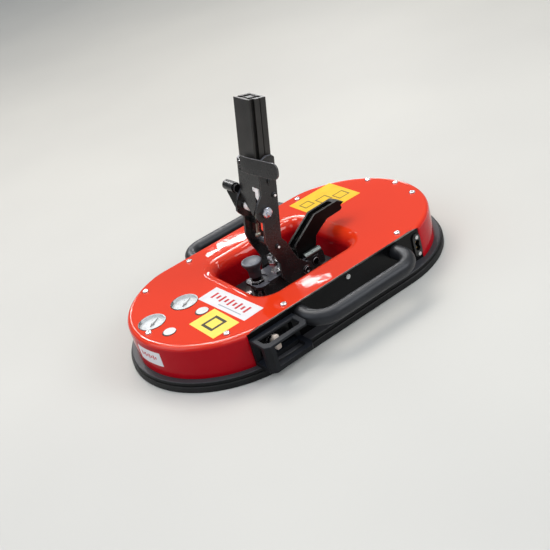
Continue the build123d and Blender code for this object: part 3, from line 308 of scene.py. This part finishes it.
# Satin zinc: a matt plate that hardly counts as a mirror. Its near white is partly the zinc's own pale grey
# and partly painted light, so small pieces stay bright in shade.
lit_satin_zinc, tree, shader, place = plated("satin_zinc_plate_painted_light", "#EEEDEB", "#FBFBFA", 0.42)
fill(tree, shader, {"Metallic": 0.05})
# Turned brass: warm yellow. Cast alloy: an even matt grey, as it leaves the mould.
brass = plated("turned_brass", "#A8843A", "#D3B363", 0.22)[0]
alloy = plated("cast_alloy", "#8E9093", "#B5B7BA", 0.42)[0]
# Bare sheet: the thin grey line where the cover was cut. Turned steel: mid grey, for the brake drum.
sheet_edge = plated("bare_sheet_edge", "#6C6866", "#9E9A97", 0.36)[0]
drum_steel = plated("turned_drum_steel", "#7C7D80", "#A9AAAD", 0.26)[0]
# Oiled rod: a yellowish grey under a film of oil.
rod_steel = plated("oiled_rod_steel", "#7B786E", "#ABA89B", 0.30)[0]
print("made", oxide.name, zinc.name, lit_satin_zinc.name, brass.name, alloy.name, rod_steel.name)

# %% [markdown]
# ## Rolled steel and thread
# Two metals have a direction. The bracket's rolled tops show streaks along the roll, 1.6 mm wide and 40
# mm long. The stop bolt has a thread. A helix could be cut into its mesh, but it is far too fine for
# this picture, so it is drawn as rings of bump with the true pitch of 1.25 mm. A wave node of scale 1
# repeats every 2 pi / 20 metres, and dividing that by the pitch gives the scale.

# %% Rolled steel and thread
# Rolled steel gives grey-green streaks that are bright and dull by turns.
roll_steel, tree, shader, place = plated("oiled_roll_steel", "#4A4F4E", "#747A78", 0.30)
along = add(tree, "Mapping", {"Vector": place, "Scale": (1 / (40 * mm), 1 / (1.6 * mm), 1 / (1.6 * mm))})
streaks = add(tree, "TexNoise", {"Vector": along, "Scale": 1.0, "Detail": 3.0})
fill(tree, shader, {"Roughness": add(tree, "MapRange", {"Value": streaks, "To Min": 0.28, "To Max": 0.55})})

# A plated thread gives close bright and dark rings.
pitch = 1.25 * mm
threaded, tree, shader, place = plated("zinc_thread", "#9A9C9F", "#D3D4D6", 0.24)
rings = add(tree, "TexWave", {"Vector": place, "Scale": 2 * math.pi / (20 * pitch)}, "Fac",
            bands_direction="Z", wave_profile="TRI")
fill(tree, shader, {"Normal": add(tree, "Bump", {"Height": rings, "Strength": 0.8, "Distance": 0.4 * mm})})
print("made", roll_steel.name, "and", threaded.name, "with scale", round(2 * math.pi / (20 * pitch), 1))

# %% [markdown]
# ## Rubber, plastics, films and paint
# The seal, knob, toggle, labels, dials and the pieces inside the head are all close to plain, but none
# is one flat colour: each has two near tones in patches where it was handled, and a fine moulding or
# printing grain. The grain is really 0.1 to 0.2 mm, so it is drawn at 0.5 to 0.9 mm to show at all.

# %% Rubber, plastics, films and paint
def plain_plastic(name, low, high, rough, cell, top=None, **steady):
    """A plastic, rubber or paint: two close tones, a grain of this cell size, and perhaps a top painted paler
    as painted light.
    """
    material, tree, shader, place = finish_of(name, **steady)
    patch = add(tree, "TexNoise", {"Vector": place, "Scale": 1 / (16 * mm), "Detail": 5.0})
    tone = add(tree, "ValToRGB", {"Fac": patch}, stops=[(0.3, low), (0.8, high)])
    if top:
        # Painted light: upward faces mix towards the paler top colour.
        upward = looking_up(tree, 0.4, 1.5)
        tone = add(tree, "Mix", {"Factor": upward, 6: tone, 7: paint(top)}, 2, data_type="RGBA")
    skin = add(tree, "TexNoise", {"Vector": place, "Scale": 1 / cell, "Detail": 2.0})
    fill(tree, shader, {
        "Base Color": tone,
        "Roughness": add(tree, "MapRange", {"Value": patch, "To Min": rough, "To Max": rough + 0.13}),
        "Normal": add(tree, "Bump", {"Height": skin, "Strength": 0.15, "Distance": 0.04 * mm}),
    })
    return material


# Seal rubber: the deepest matt black, with hardly a highlight.
rubber = plain_plastic("black_seal_rubber", "#08090A", "#131416", 0.50, 0.9 * mm, IOR=1.52,
                       Specular_IOR_Level=0.3)
# Nylon: a waxy black on the grip and inlet, and a blue-grey knob whose dished top is painted paler: painted
# light from above.
knob_plastic = plain_plastic("grey_knob_nylon", "#1F2125", "#2B2E33", 0.42, 0.7 * mm, IOR=1.53, top="#8F95A3")
black_plastic = plain_plastic("black_nylon", "#0A0A0B", "#141516", 0.22, 0.7 * mm, IOR=1.53)
# Toggle plastic: a warm cream. Battery case: mid grey. Circuit board: deep green solder mask.
cream = plain_plastic("cream_paddle_plastic", "#C9BBB0", "#DCD2C8", 0.34, 0.6 * mm, IOR=1.5)
battery_case = plain_plastic("grey_battery_case", "#2A2D31", "#3A3E43", 0.42, 0.8 * mm, IOR=1.5)
board_mask = plain_plastic("green_board_mask", "#0C4A22", "#17662F", 0.28, 2.0 * mm, IOR=1.5)
# Dial paint: a cool white, with grey figures and a black needle.
dial_white = plain_plastic("white_dial_enamel", "#D3DADF", "#E1E6EA", 0.35, 0.5 * mm, IOR=1.5)
dial_ink = plain_plastic("grey_dial_ink", "#7D8288", "#8E9399", 0.5, 0.5 * mm, IOR=1.5)
needle_black = plain_plastic("black_needle_paint", "#101114", "#22252A", 0.35, 0.5 * mm, IOR=1.5)
# Vinyl film: even and satin, a bluish white and two yellows.
white_film = plain_plastic("white_vinyl_film", "#D8D8DE", "#E4E4E8", 0.28, 0.8 * mm, IOR=1.5,
                           Specular_IOR_Level=0.2)
pale_yellow = plain_plastic("pale_yellow_film", "#F7D955", "#FBE168", 0.40, 0.8 * mm, IOR=1.5,
                            Specular_IOR_Level=0.1)
yellow_film = plain_plastic("yellow_vinyl_film", "#E8B914", "#EFC628", 0.40, 0.8 * mm, IOR=1.5,
                            Specular_IOR_Level=0.08)
print("made", rubber.name, knob_plastic.name, cream.name, dial_white.name, white_film.name, yellow_film.name)

# %% [markdown]
# ## Gauge lens, gauge rims and lamps
# The two gauges and the two signal lights are pale rounds in their holes, and the gap around each lies in
# shade, a dark ring that is wider on one side. A thin ring could be modelled for it, but the CAD pieces
# already fill the hole, so the shadow is painted: a point further from its own round's shifted centre
# than the radius is dark.

# %% Gauge lens, gauge rims and lamps
# The lens is clear: only a weak, slightly smeared reflection shows that it is there.
lens_glass, tree, shader, place = finish_of("clear_gauge_lens", IOR=1.49, Alpha=0.10)
wipes = add(tree, "TexNoise", {"Vector": place, "Scale": 1 / (9 * mm), "Detail": 3.0})
film = add(tree, "TexNoise", {"Vector": place, "Scale": 1 / (12 * mm), "Detail": 3.0})
fill(tree, shader, {
    "Base Color": add(tree, "ValToRGB", {"Fac": film}, stops=[(0.3, "#F3F6F7"), (0.8, "#FFFFFF")]),
    "Roughness": add(tree, "MapRange", {"Value": wipes, "To Min": 0.02, "To Max": 0.07}),
})

gauge_points = [(-214.7 * mm, 18.8 * mm, 0), (-158.5 * mm, 21.0 * mm, 0)]
light_points = [(-213.0 * mm, -27.0 * mm, 0), (-157.0 * mm, -24.5 * mm, 0)]
# The centres are shifted so that the painted shadow is wider on one side.
shadow_shift_x, shadow_shift_y = 1.0 * mm, 0.2 * mm


def ringed(name, centres, radius, low, high, gap_shadow, rough):
    """A pale round of two tones inside a painted dark ring: the shadow in the gap around it."""
    material, tree, shader, place = finish_of(name, IOR=1.5)
    flat = add(tree, "VectorMath", {0: place, 1: (1, 1, 0)}, operation="MULTIPLY")
    first, second = (add(tree, "VectorMath", {0: flat, 1: (x + shadow_shift_x, y + shadow_shift_y, 0)}, "Value",
                         operation="DISTANCE") for x, y, z in centres)
    nearest = add(tree, "Math", {0: first, 1: second}, operation="MINIMUM")
    outside = add(tree, "Math", {0: nearest, 1: radius}, operation="GREATER_THAN")
    speck = add(tree, "TexNoise", {"Vector": place, "Scale": 1 / (6 * mm), "Detail": 4.0})
    tone = add(tree, "ValToRGB", {"Fac": speck}, stops=[(0.3, low), (0.8, high)])
    ripple = add(tree, "TexNoise", {"Vector": place, "Scale": 1 / (1.2 * mm), "Detail": 2.0})
    fill(tree, shader, {
        "Base Color": add(tree, "Mix", {"Factor": outside, 6: tone, 7: paint(gap_shadow)}, 2, data_type="RGBA"),
        "Roughness": add(tree, "MapRange", {"Value": speck, "To Min": rough, "To Max": rough + 0.1}),
        "Normal": add(tree, "Bump", {"Height": ripple, "Strength": 0.06, "Distance": 0.03 * mm}),
    })
    return material


# A lamp lens is milky white and smooth. A gauge's rim is white enamel, a shade darker.
lamp = ringed("white_lamp_lens", light_points, 8.9 * mm, "#DCDFE0", "#EEF0F0", "#17181A", 0.14)
gauge_rim = ringed("white_gauge_rim", gauge_points, 19.2 * mm, "#C9CDD0", "#DDE0E2", "#0E0F10", 0.22)
print("made", lens_glass.name, lamp.name, gauge_rim.name)

# %% [markdown]
# ## Softened edges
# CAD edges are perfectly sharp, and a sharp edge never catches the light. The real plates are sheared
# and tumbled before they are coated, so their edges are round over about half a millimetre. A Bevel
# modifier could do it, but it would not mark its new faces. So a copy of the CAD mesh is merged, its
# flat faces are joined, only the sharp edges are bevelled, and the new narrow faces get a value that
# the finish paints pale, for wear and as a painted glint.

# %% Softening helpers
def smooth_piece(name, bm, materials, body):
    """Turn a bmesh into a piece: smooth faces, sharp where the corner is over 40 degrees."""
    mesh = bpy.data.meshes.new(name)
    bm.to_mesh(mesh)
    bm.free()
    for material in materials:
        mesh.materials.append(material)
    mesh.shade_smooth()
    mesh.set_sharp_from_angle(angle=math.radians(40))
    piece = bpy.data.objects.new(name, mesh)
    bpy.context.scene.collection.objects.link(piece)
    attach(piece, body)
    return piece


def even_normals(piece):
    """Let big flat faces keep their direction, so only the narrow rounded ones turn the light."""
    weight = piece.modifiers.new("even_normals", "WEIGHTED_NORMAL")
    weight.keep_sharp = True


def merged_copy(node):
    """The CAD node's triangles as a closed bmesh with flat faces joined."""
    bm = bmesh.new()
    bm.from_mesh(frame["nodes"][node].data)
    bmesh.ops.remove_doubles(bm, verts=bm.verts, dist=0.002 * mm)
    bmesh.ops.dissolve_limit(bm, angle_limit=math.radians(0.5), verts=bm.verts, edges=bm.edges)
    return bm


def soften(node, width, material, corner=35):
    """Replace a CAD node by a copy whose sharp edges are rounded over this width in millimetres."""
    bm = merged_copy(node)
    sharp = [e for e in bm.edges if len(e.link_faces) == 2 and e.calc_face_angle() > math.radians(corner)]
    # The new narrow faces are marked; their finish paints them pale, as wear and a painted glint.
    wear_and_glint = bm.faces.layers.float.new("wear_and_glint")
    made = bmesh.ops.bevel(bm, geom=sharp, offset=width * mm, offset_type="OFFSET", segments=2, profile=0.5,
                           affect="EDGES", clamp_overlap=True, material=-1)
    for face in made["faces"]:
        face[wear_and_glint] = 1.0
    piece = smooth_piece(f"soft_{node}", bm, [material], node_body[node])
    even_normals(piece)
    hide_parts(node)
    print(piece.name, len(piece.data.polygons), "faces,", len(sharp), "edges rounded")
    return piece


# %% [markdown]
# ## Softened plates, levers and mouldings
# Each piece is rounded by what its making gives it. Sheared plates and levers lose about half a
# millimetre, thin panels and the extruded mast less, and a moulded guard a little more. All could get
# one width, but a panel's thin edge would then be nothing but rounding.

# %% Softened plates, levers and mouldings
for node, width, material in (
    ("tilt_lever", 0.55, gloss_coat), ("front_arm_plate", 0.5, coated), ("rear_arm_plate", 0.5, coated),
    ("latch_strap", 0.45, coated), ("mast_web", 0.4, coated), ("release_crank", 0.5, gloss_coat),
    ("stop_bar", 0.4, coated), ("switch_guard", 0.6, guard_black),
    ("front_panel", 0.3, lacquer), ("rear_panel", 0.3, lacquer), ("mast", 0.35, anodised),
    ("charge_inlet", 0.4, black_plastic), ("plunger_body", 0.4, oxide), ("stop_nuts", 0.5, zinc),
    ("swivel_nut", 0.5, zinc), ("release_nut", 0.5, zinc), ("toggle_body", 0.4, oxide),
    ("axle_screws", 0.4, oxide), ("lever_pin", 0.4, oxide), ("rod_guide", 0.4, black_plastic),
):
    soften(node, width, material)

# %% [markdown]
# ## Pieces with two finishes
# The cross bolts are coated together with the plates, and only their turned ends on the lower plates
# take the near-white zinc: the small bright dots there are painted glints. The bracket's cheeks are coated
# too, but their rolled tops are oiled steel. Each is one piece of metal, so it stays one mesh: the faces
# whose centres lie in a given region take a second material.

# %% Pieces with two finishes
def second_finish(piece, material, chosen):
    """Give the faces whose centres, in millimetres, are chosen a second material."""
    piece.data.materials.append(material)
    for face in piece.data.polygons:
        face.material_index = int(chosen(face.center / mm))
    print(piece.name, sum(face.material_index for face in piece.data.polygons), "faces of", material.name)


bolts = smooth_piece("smooth_cross_bolts", merged_copy("cross_bolts"), [coated], node_body["cross_bolts"])
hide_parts("cross_bolts")
# The bolts' lower ends are painted near white: painted glints.
second_finish(bolts, lit_satin_zinc, lambda spot: abs(spot.y) > 29.3 and spot.z < 180)
bracket = soften("pivot_bracket", 1.0, coated)
second_finish(bracket, roll_steel,
              lambda spot: 28.5 < spot.x < 56.5 and spot.z > 47.5 and 9 < abs(spot.y) < 21.9)

# %% [markdown]
# ## Smooth shells
# The cover, rim, seal, grips and screws already have their rounded edges in the CAD model. They need no
# bevel, only smooth shading, so each is a merged copy whose facets stay and whose normals are blended.
# On two of them a region has a second finish: the release shaft's front end is blue zinc, and the
# cover's cut edges are bare.

# %% Smooth shells
shells = {}
for node, material in (
    ("cover", enamel), ("base_plate", moulded), ("suction_seal", rubber), ("front_handle", grip_skin),
    ("rear_handle", grip_skin), ("plunger_knob", knob_plastic), ("cover_screws", zinc), ("ring_bolts", zinc),
    ("release_grip", black_plastic), ("pull_rod", rod_steel), ("toggle_lever", cream), ("signal_lights", lamp),
    ("gauge_cases", gauge_rim), ("gauge_lenses", lens_glass), ("swivel_base", table_coat),
    ("turntable", table_coat), ("panel_screws", zinc), ("inlet_screws", zinc), ("tilt_axle", zinc),
    ("brake_drum", drum_steel), ("stop_bolt", threaded), ("release_shaft", lit_satin_zinc),
):
    shells[node] = smooth_piece(f"smooth_{node}", merged_copy(node), [material], node_body[node])
    even_normals(shells[node])
    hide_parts(node)
    print(shells[node].name, len(shells[node].data.polygons), "faces")
second_finish(shells["release_shaft"], blue_zinc, lambda spot: spot.y < -27.2)
second_finish(shells["cover"], sheet_edge, lambda spot: abs(abs(spot.y) - 130.0) < 0.02 and spot.z > 62.0)

# %% [markdown]
# ## Pieces that keep their CAD mesh
# The dials, needles, pins and everything inside the head are flat, tiny or out of sight, so their CAD
# meshes do as they are. They only change the plain CAD material for the finish of the real piece.

# %% Pieces that keep their CAD mesh
kept_meshes = (
    ("gauge_dials", dial_white), ("gauge_needle_a", needle_black), ("gauge_needle_b", needle_black),
    ("cover_posts", alloy), ("backing_bars", alloy), ("handle_screws", zinc), ("inlet_pins", brass),
    ("battery_pack", battery_case), ("vacuum_pump", alloy), ("release_valve", black_plastic),
    ("vacuum_hoses", rubber), ("control_board", board_mask), ("plunger_pin", zinc), ("mast_shims", lit_satin_zinc),
    ("latch_pin", zinc),
)
for node, material in kept_meshes:
    slots = frame["nodes"][node].data.materials
    slots.clear()
    slots.append(material)
print(len(kept_meshes), "pieces keep their CAD mesh")

# %% [markdown]
# ## Label films
# Each label is a vinyl film, 0.3 mm thick. The films are islands of one CAD node, so they stay one
# piece, and each face's place says which film it belongs to: white on the near end and beside the
# gauges, pale yellow in front of the lights, and a deeper yellow at the far end.

# %% Label films
white, yellow, pale = range(3)
bm = merged_copy("labels")
for face in bm.faces:
    spot = face.calc_center_median() / mm
    face.material_index = white
    if spot.z > 60 and not -143 < spot.x < 0:
        face.material_index = pale if spot.x < 0 else yellow
films = smooth_piece("label_films", bm, [white_film, yellow_film, pale_yellow], "head")
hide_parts("labels")
print("films", len(films.data.polygons), "faces")

# %% [markdown]
# ## Label print
# The print is plain: bars, a rule and squares. It could be a pattern in the film's material, but small
# shapes with crisp edges are easier to place as thin slabs that lie on the film. The bars on the round
# end are turned one by one about the end's axis, so that their row follows the curve.

# %% Label print
ink_bm = bmesh.new()
# Screen ink is flat and dry: four colours that hardly shine.
inks = [plain_plastic(name, low, high, 0.4, 0.8 * mm, IOR=1.5, Specular_IOR_Level=0.1) for name, low, high in (
    ("red_film_ink", "#B8232C", "#C8303A"), ("grey_film_ink", "#8F97A3", "#A2AAB5"),
    ("dark_film_ink", "#3B3A2C", "#4A4938"), ("olive_film_ink", "#86680F", "#937418"))]
red, grey, dark, olive = range(4)
ink = 0.04 * mm
film_top = 65.3 * mm + ink / 2


def slab(bm, size, spot, angle=0.0, about=(0, 0, 0), colour=0):
    """A thin flat slab: its centre is moved to a spot, then turned and shifted with its owner."""
    made = bmesh.ops.create_cube(bm, size=1.0)["verts"]
    bmesh.ops.scale(bm, verts=made, vec=size)
    bmesh.ops.translate(bm, verts=made, vec=spot)
    bmesh.ops.rotate(bm, verts=made, cent=(0, 0, 0), matrix=Matrix.Rotation(angle, 3, "Z"))
    bmesh.ops.translate(bm, verts=made, vec=about)
    for face in {face for vert in made for face in vert.link_faces}:
        face.material_index = colour


def square(bm, side, stroke, spot, colour):
    """A square outline of four slabs; a gap of 0.01 mm at each corner keeps their edges apart."""
    half, about = (side - stroke) / 2 * mm, (spot[0] * mm, spot[1] * mm, film_top)
    inner = (side - 2 * stroke - 0.02) * mm
    for way in (-1, 1):
        slab(bm, (stroke * mm, side * mm, ink), (way * half, 0, 0), 0, about, colour)
        slab(bm, (inner, stroke * mm, ink), (0, way * half, 0), 0, about, colour)


white_middle, white_turn = (-122.8 * mm, -45.6 * mm, film_top), math.radians(2.9)
for i in range(9):
    length = (14 - 6 * (i % 2)) * mm
    slab(ink_bm, (length, 4.5 * mm, ink), (2 * mm, (39 - 9.5 * i) * mm, 0), white_turn, white_middle, red)
slab(ink_bm, (1.6 * mm, 52 * mm, ink), (-10 * mm, -12 * mm, 0), white_turn, white_middle, grey)
square(ink_bm, 27, 4.5, (-164.6, -67.5), dark)
for x, y, side in ((119, 86, 19), (144, 74, 21), (168, 60, 21)):
    square(ink_bm, side, 2.4, (x, y), olive)
end_axis, end_film_radius = (-110 * mm, 0, 0), 138.32 * mm
for i in range(8):
    length, turn = (7 - 3 * (i % 2)) * mm, math.radians(179 + 1.9 * i)
    slab(ink_bm, (ink, 2.6 * mm, length), (end_film_radius, 0, 42 * mm), turn, end_axis, red)
label_print = smooth_piece("label_print", ink_bm, inks, "head")
print("label print", len(label_print.data.polygons), "faces")

# %% [markdown]
# ## Dial print
# A vacuum gauge has a scale over three quarters of a turn, with a longer tick at every third mark and a
# plain number at every sixth. The ticks are slabs turned into place, and the numbers are text with a
# little thickness that is made into a mesh. They lie just above the white dial and under the lens.

# %% Dial print
dial_face = Vector((0, 0, 61.05 * mm))
dial_ink_depth = 0.06 * mm
first_mark, mark_step, tick_end = 225.0, 27.0, 17.4
print_bm = bmesh.new()


def number(centre, angle, text, height, radius):
    """A number on the dial, upright for the reader at the front."""
    curve = bpy.data.curves.new("number", "FONT")
    curve.body = text
    curve.size = height
    curve.extrude = dial_ink_depth / 2
    curve.align_x = "CENTER"
    curve.align_y = "CENTER"
    holder = bpy.data.objects.new("number", curve)
    mesh = bpy.data.meshes.new_from_object(holder)
    mesh.transform(Matrix.Translation(centre + radius * Vector((math.cos(angle), math.sin(angle), 0))))
    print_bm.from_mesh(mesh)
    bpy.data.objects.remove(holder)
    bpy.data.curves.remove(curve)
    bpy.data.meshes.remove(mesh)


for point in gauge_points:
    centre = Vector(point) + dial_face
    for i in range(31):
        angle = math.radians(first_mark - mark_step / 3 * i)
        reach, width = (2.6, 0.5) if i % 3 == 0 else (1.5, 0.3)
        middle = ((tick_end - reach / 2) * mm, 0, 0)
        slab(print_bm, (reach * mm, width * mm, dial_ink_depth), middle, angle, centre)
    for i in range(6):
        number(centre, math.radians(first_mark - 2 * mark_step * i), str(2 * i), 3.4 * mm, 11.8 * mm)
bmesh.ops.remove_doubles(print_bm, verts=print_bm.verts, dist=0.0005 * mm)
scale_print = smooth_piece("dial_print", print_bm, [dial_ink], "head")
print("dial print", len(scale_print.data.polygons), "faces")

# %% [markdown]
# ## Floor
# The floor is a pale painted sheet with a slight sheen. It lies a little under the seal, so that the
# two never share a plane. It isn't part of the lifter.

# %% Floor
floor_bm = bmesh.new()
bmesh.ops.create_grid(floor_bm, x_segments=1, y_segments=1, size=6.0)
floor_mesh = bpy.data.meshes.new("floor")
floor_bm.to_mesh(floor_mesh)
floor_bm.free()
# Floor paint gives an even light grey with clouds half a metre wide.
floor_paint, tree, shader, place = finish_of("pale_floor", IOR=1.45, Specular_IOR_Level=0.12, Roughness=0.55)
clouds = add(tree, "TexNoise", {"Vector": place, "Scale": 1 / 0.5, "Detail": 2.0})
pale_grey = add(tree, "ValToRGB", {"Fac": clouds}, stops=[(0.3, "#CBCCCA"), (0.8, "#D2D3D0")])
fill(tree, shader, {"Base Color": pale_grey})
floor_mesh.materials.append(floor_paint)
floor = bpy.data.objects.new("floor", floor_mesh)
floor.location.z = -0.6 * mm
bpy.context.scene.collection.objects.link(floor)
print("floor at", round(floor.location.z / mm, 2), "mm")

# %% [markdown]
# ## Lights
# Four soft lights do the lighting: one high behind, a big window on the left and two in front. Gloss
# enamel also mirrors a room, and an empty studio would leave it dull. So the other lights show in
# reflections only: they take no part in the diffuse light, and they stand where the enamel mirrors them
# to the camera. The windows and the hall lamps draw the white patches on the well's lip and the lines
# along the rounded edges, and the small panes make the patch beside the front grip.

# %% Lights
def soft_light(name, spot, aim, size, power, colour, gloss_only=False):
    """A rectangular area light that faces a point; a gloss-only one shows in reflections alone."""
    data = bpy.data.lights.new(name, "AREA")
    data.shape = "RECTANGLE"
    data.size, data.size_y = size
    data.energy = power
    data.color = paint(colour)[:3]
    lamp_object = bpy.data.objects.new(name, data)
    lamp_object.location = spot
    lamp_object.rotation_euler = (Vector(aim) - Vector(spot)).to_track_quat("-Z", "Y").to_euler()
    lamp_object.visible_diffuse = not gloss_only
    lamp_object.visible_camera = False
    bpy.context.scene.collection.objects.link(lamp_object)


soft_light("high_back", (0.3, 1.2, 2.0), (0, 0, 0), (1.8, 0.8), 28, "#FFF4E6")
soft_light("left_window", (-1.7, 0.5, 1.3), (0, 0, 0.05), (1.8, 1.8), 15, "#F2F6FF")
soft_light("right_fill", (1.2, -1.3, 1.3), (0, 0, 0), (1.2, 1.0), 20, "#FFFFFF")
soft_light("front_fill", (-0.8, -1.5, 1.5), (0, 0, 0.05), (1.0, 1.0), 6, "#FFFFFF")
cover_middle = (0, 0, 65 * mm)
for name, spot, size, power in (
    ("low_strip", (1.6, 1.9, 0.80), (0.6, 0.20), 6.0), ("wide_window", (0.05, 1.9, 1.45), (0.7, 0.22), 7.0),
    ("tall_window", (0.66, 1.64, 2.04), (0.9, 0.5), 25.0), ("end_strip", (0.27, 1.9, 1.05), (0.16, 0.5), 3.0),
    ("back_pane", (0.87, 1.9, 1.055), (0.12, 0.034), 0.30),
    ("back_pane_left", (0.785, 1.9, 1.06), (0.05, 0.02), 0.1),
    ("pane_1", (1.11, 1.9, 1.362), (0.07, 0.004), 0.016),
    ("pane_2", (1.150, 1.9, 1.388), (0.065, 0.008), 0.038),
    ("pane_3", (1.215, 1.9, 1.415), (0.06, 0.007), 0.030),
    ("hall_lamp_1", (-0.25, 0.35, 2.3), (0.3, 0.5), 9.0), ("hall_lamp_2", (0.5, 0.1, 2.3), (0.3, 0.5), 9.0),
    ("hall_lamp_3", (1.25, -0.1, 2.3), (0.3, 0.5), 9.0),
):
    soft_light(name, spot, cover_middle, size, power, "#FFFFFF", True)

# %% [markdown]
# ## Surroundings
# The world is a plain hall: grey at the horizon and nearly white overhead, so that walls mirror
# something darker than tops do. The Standard view keeps colours as they are painted, where a filmic one
# would fade the red.

# %% Surroundings
world = bpy.data.worlds.new("hall")
world.use_nodes = True
sky = world.node_tree
rise = add(sky, "SeparateXYZ", {"Vector": add(sky, "TexCoord", out="Generated")}, "Z")
fill(sky, sky.nodes["Background"], {
    "Color": add(sky, "ValToRGB", {"Fac": rise},
                 stops=[(0.0, "#8A8D90"), (0.9, "#F4F6F8"), (0.35, "#B4B8BB")]),
    "Strength": 0.62,
})
bpy.context.scene.world = world
bpy.context.scene.view_settings.view_transform = "Standard"
print("world", world.name)
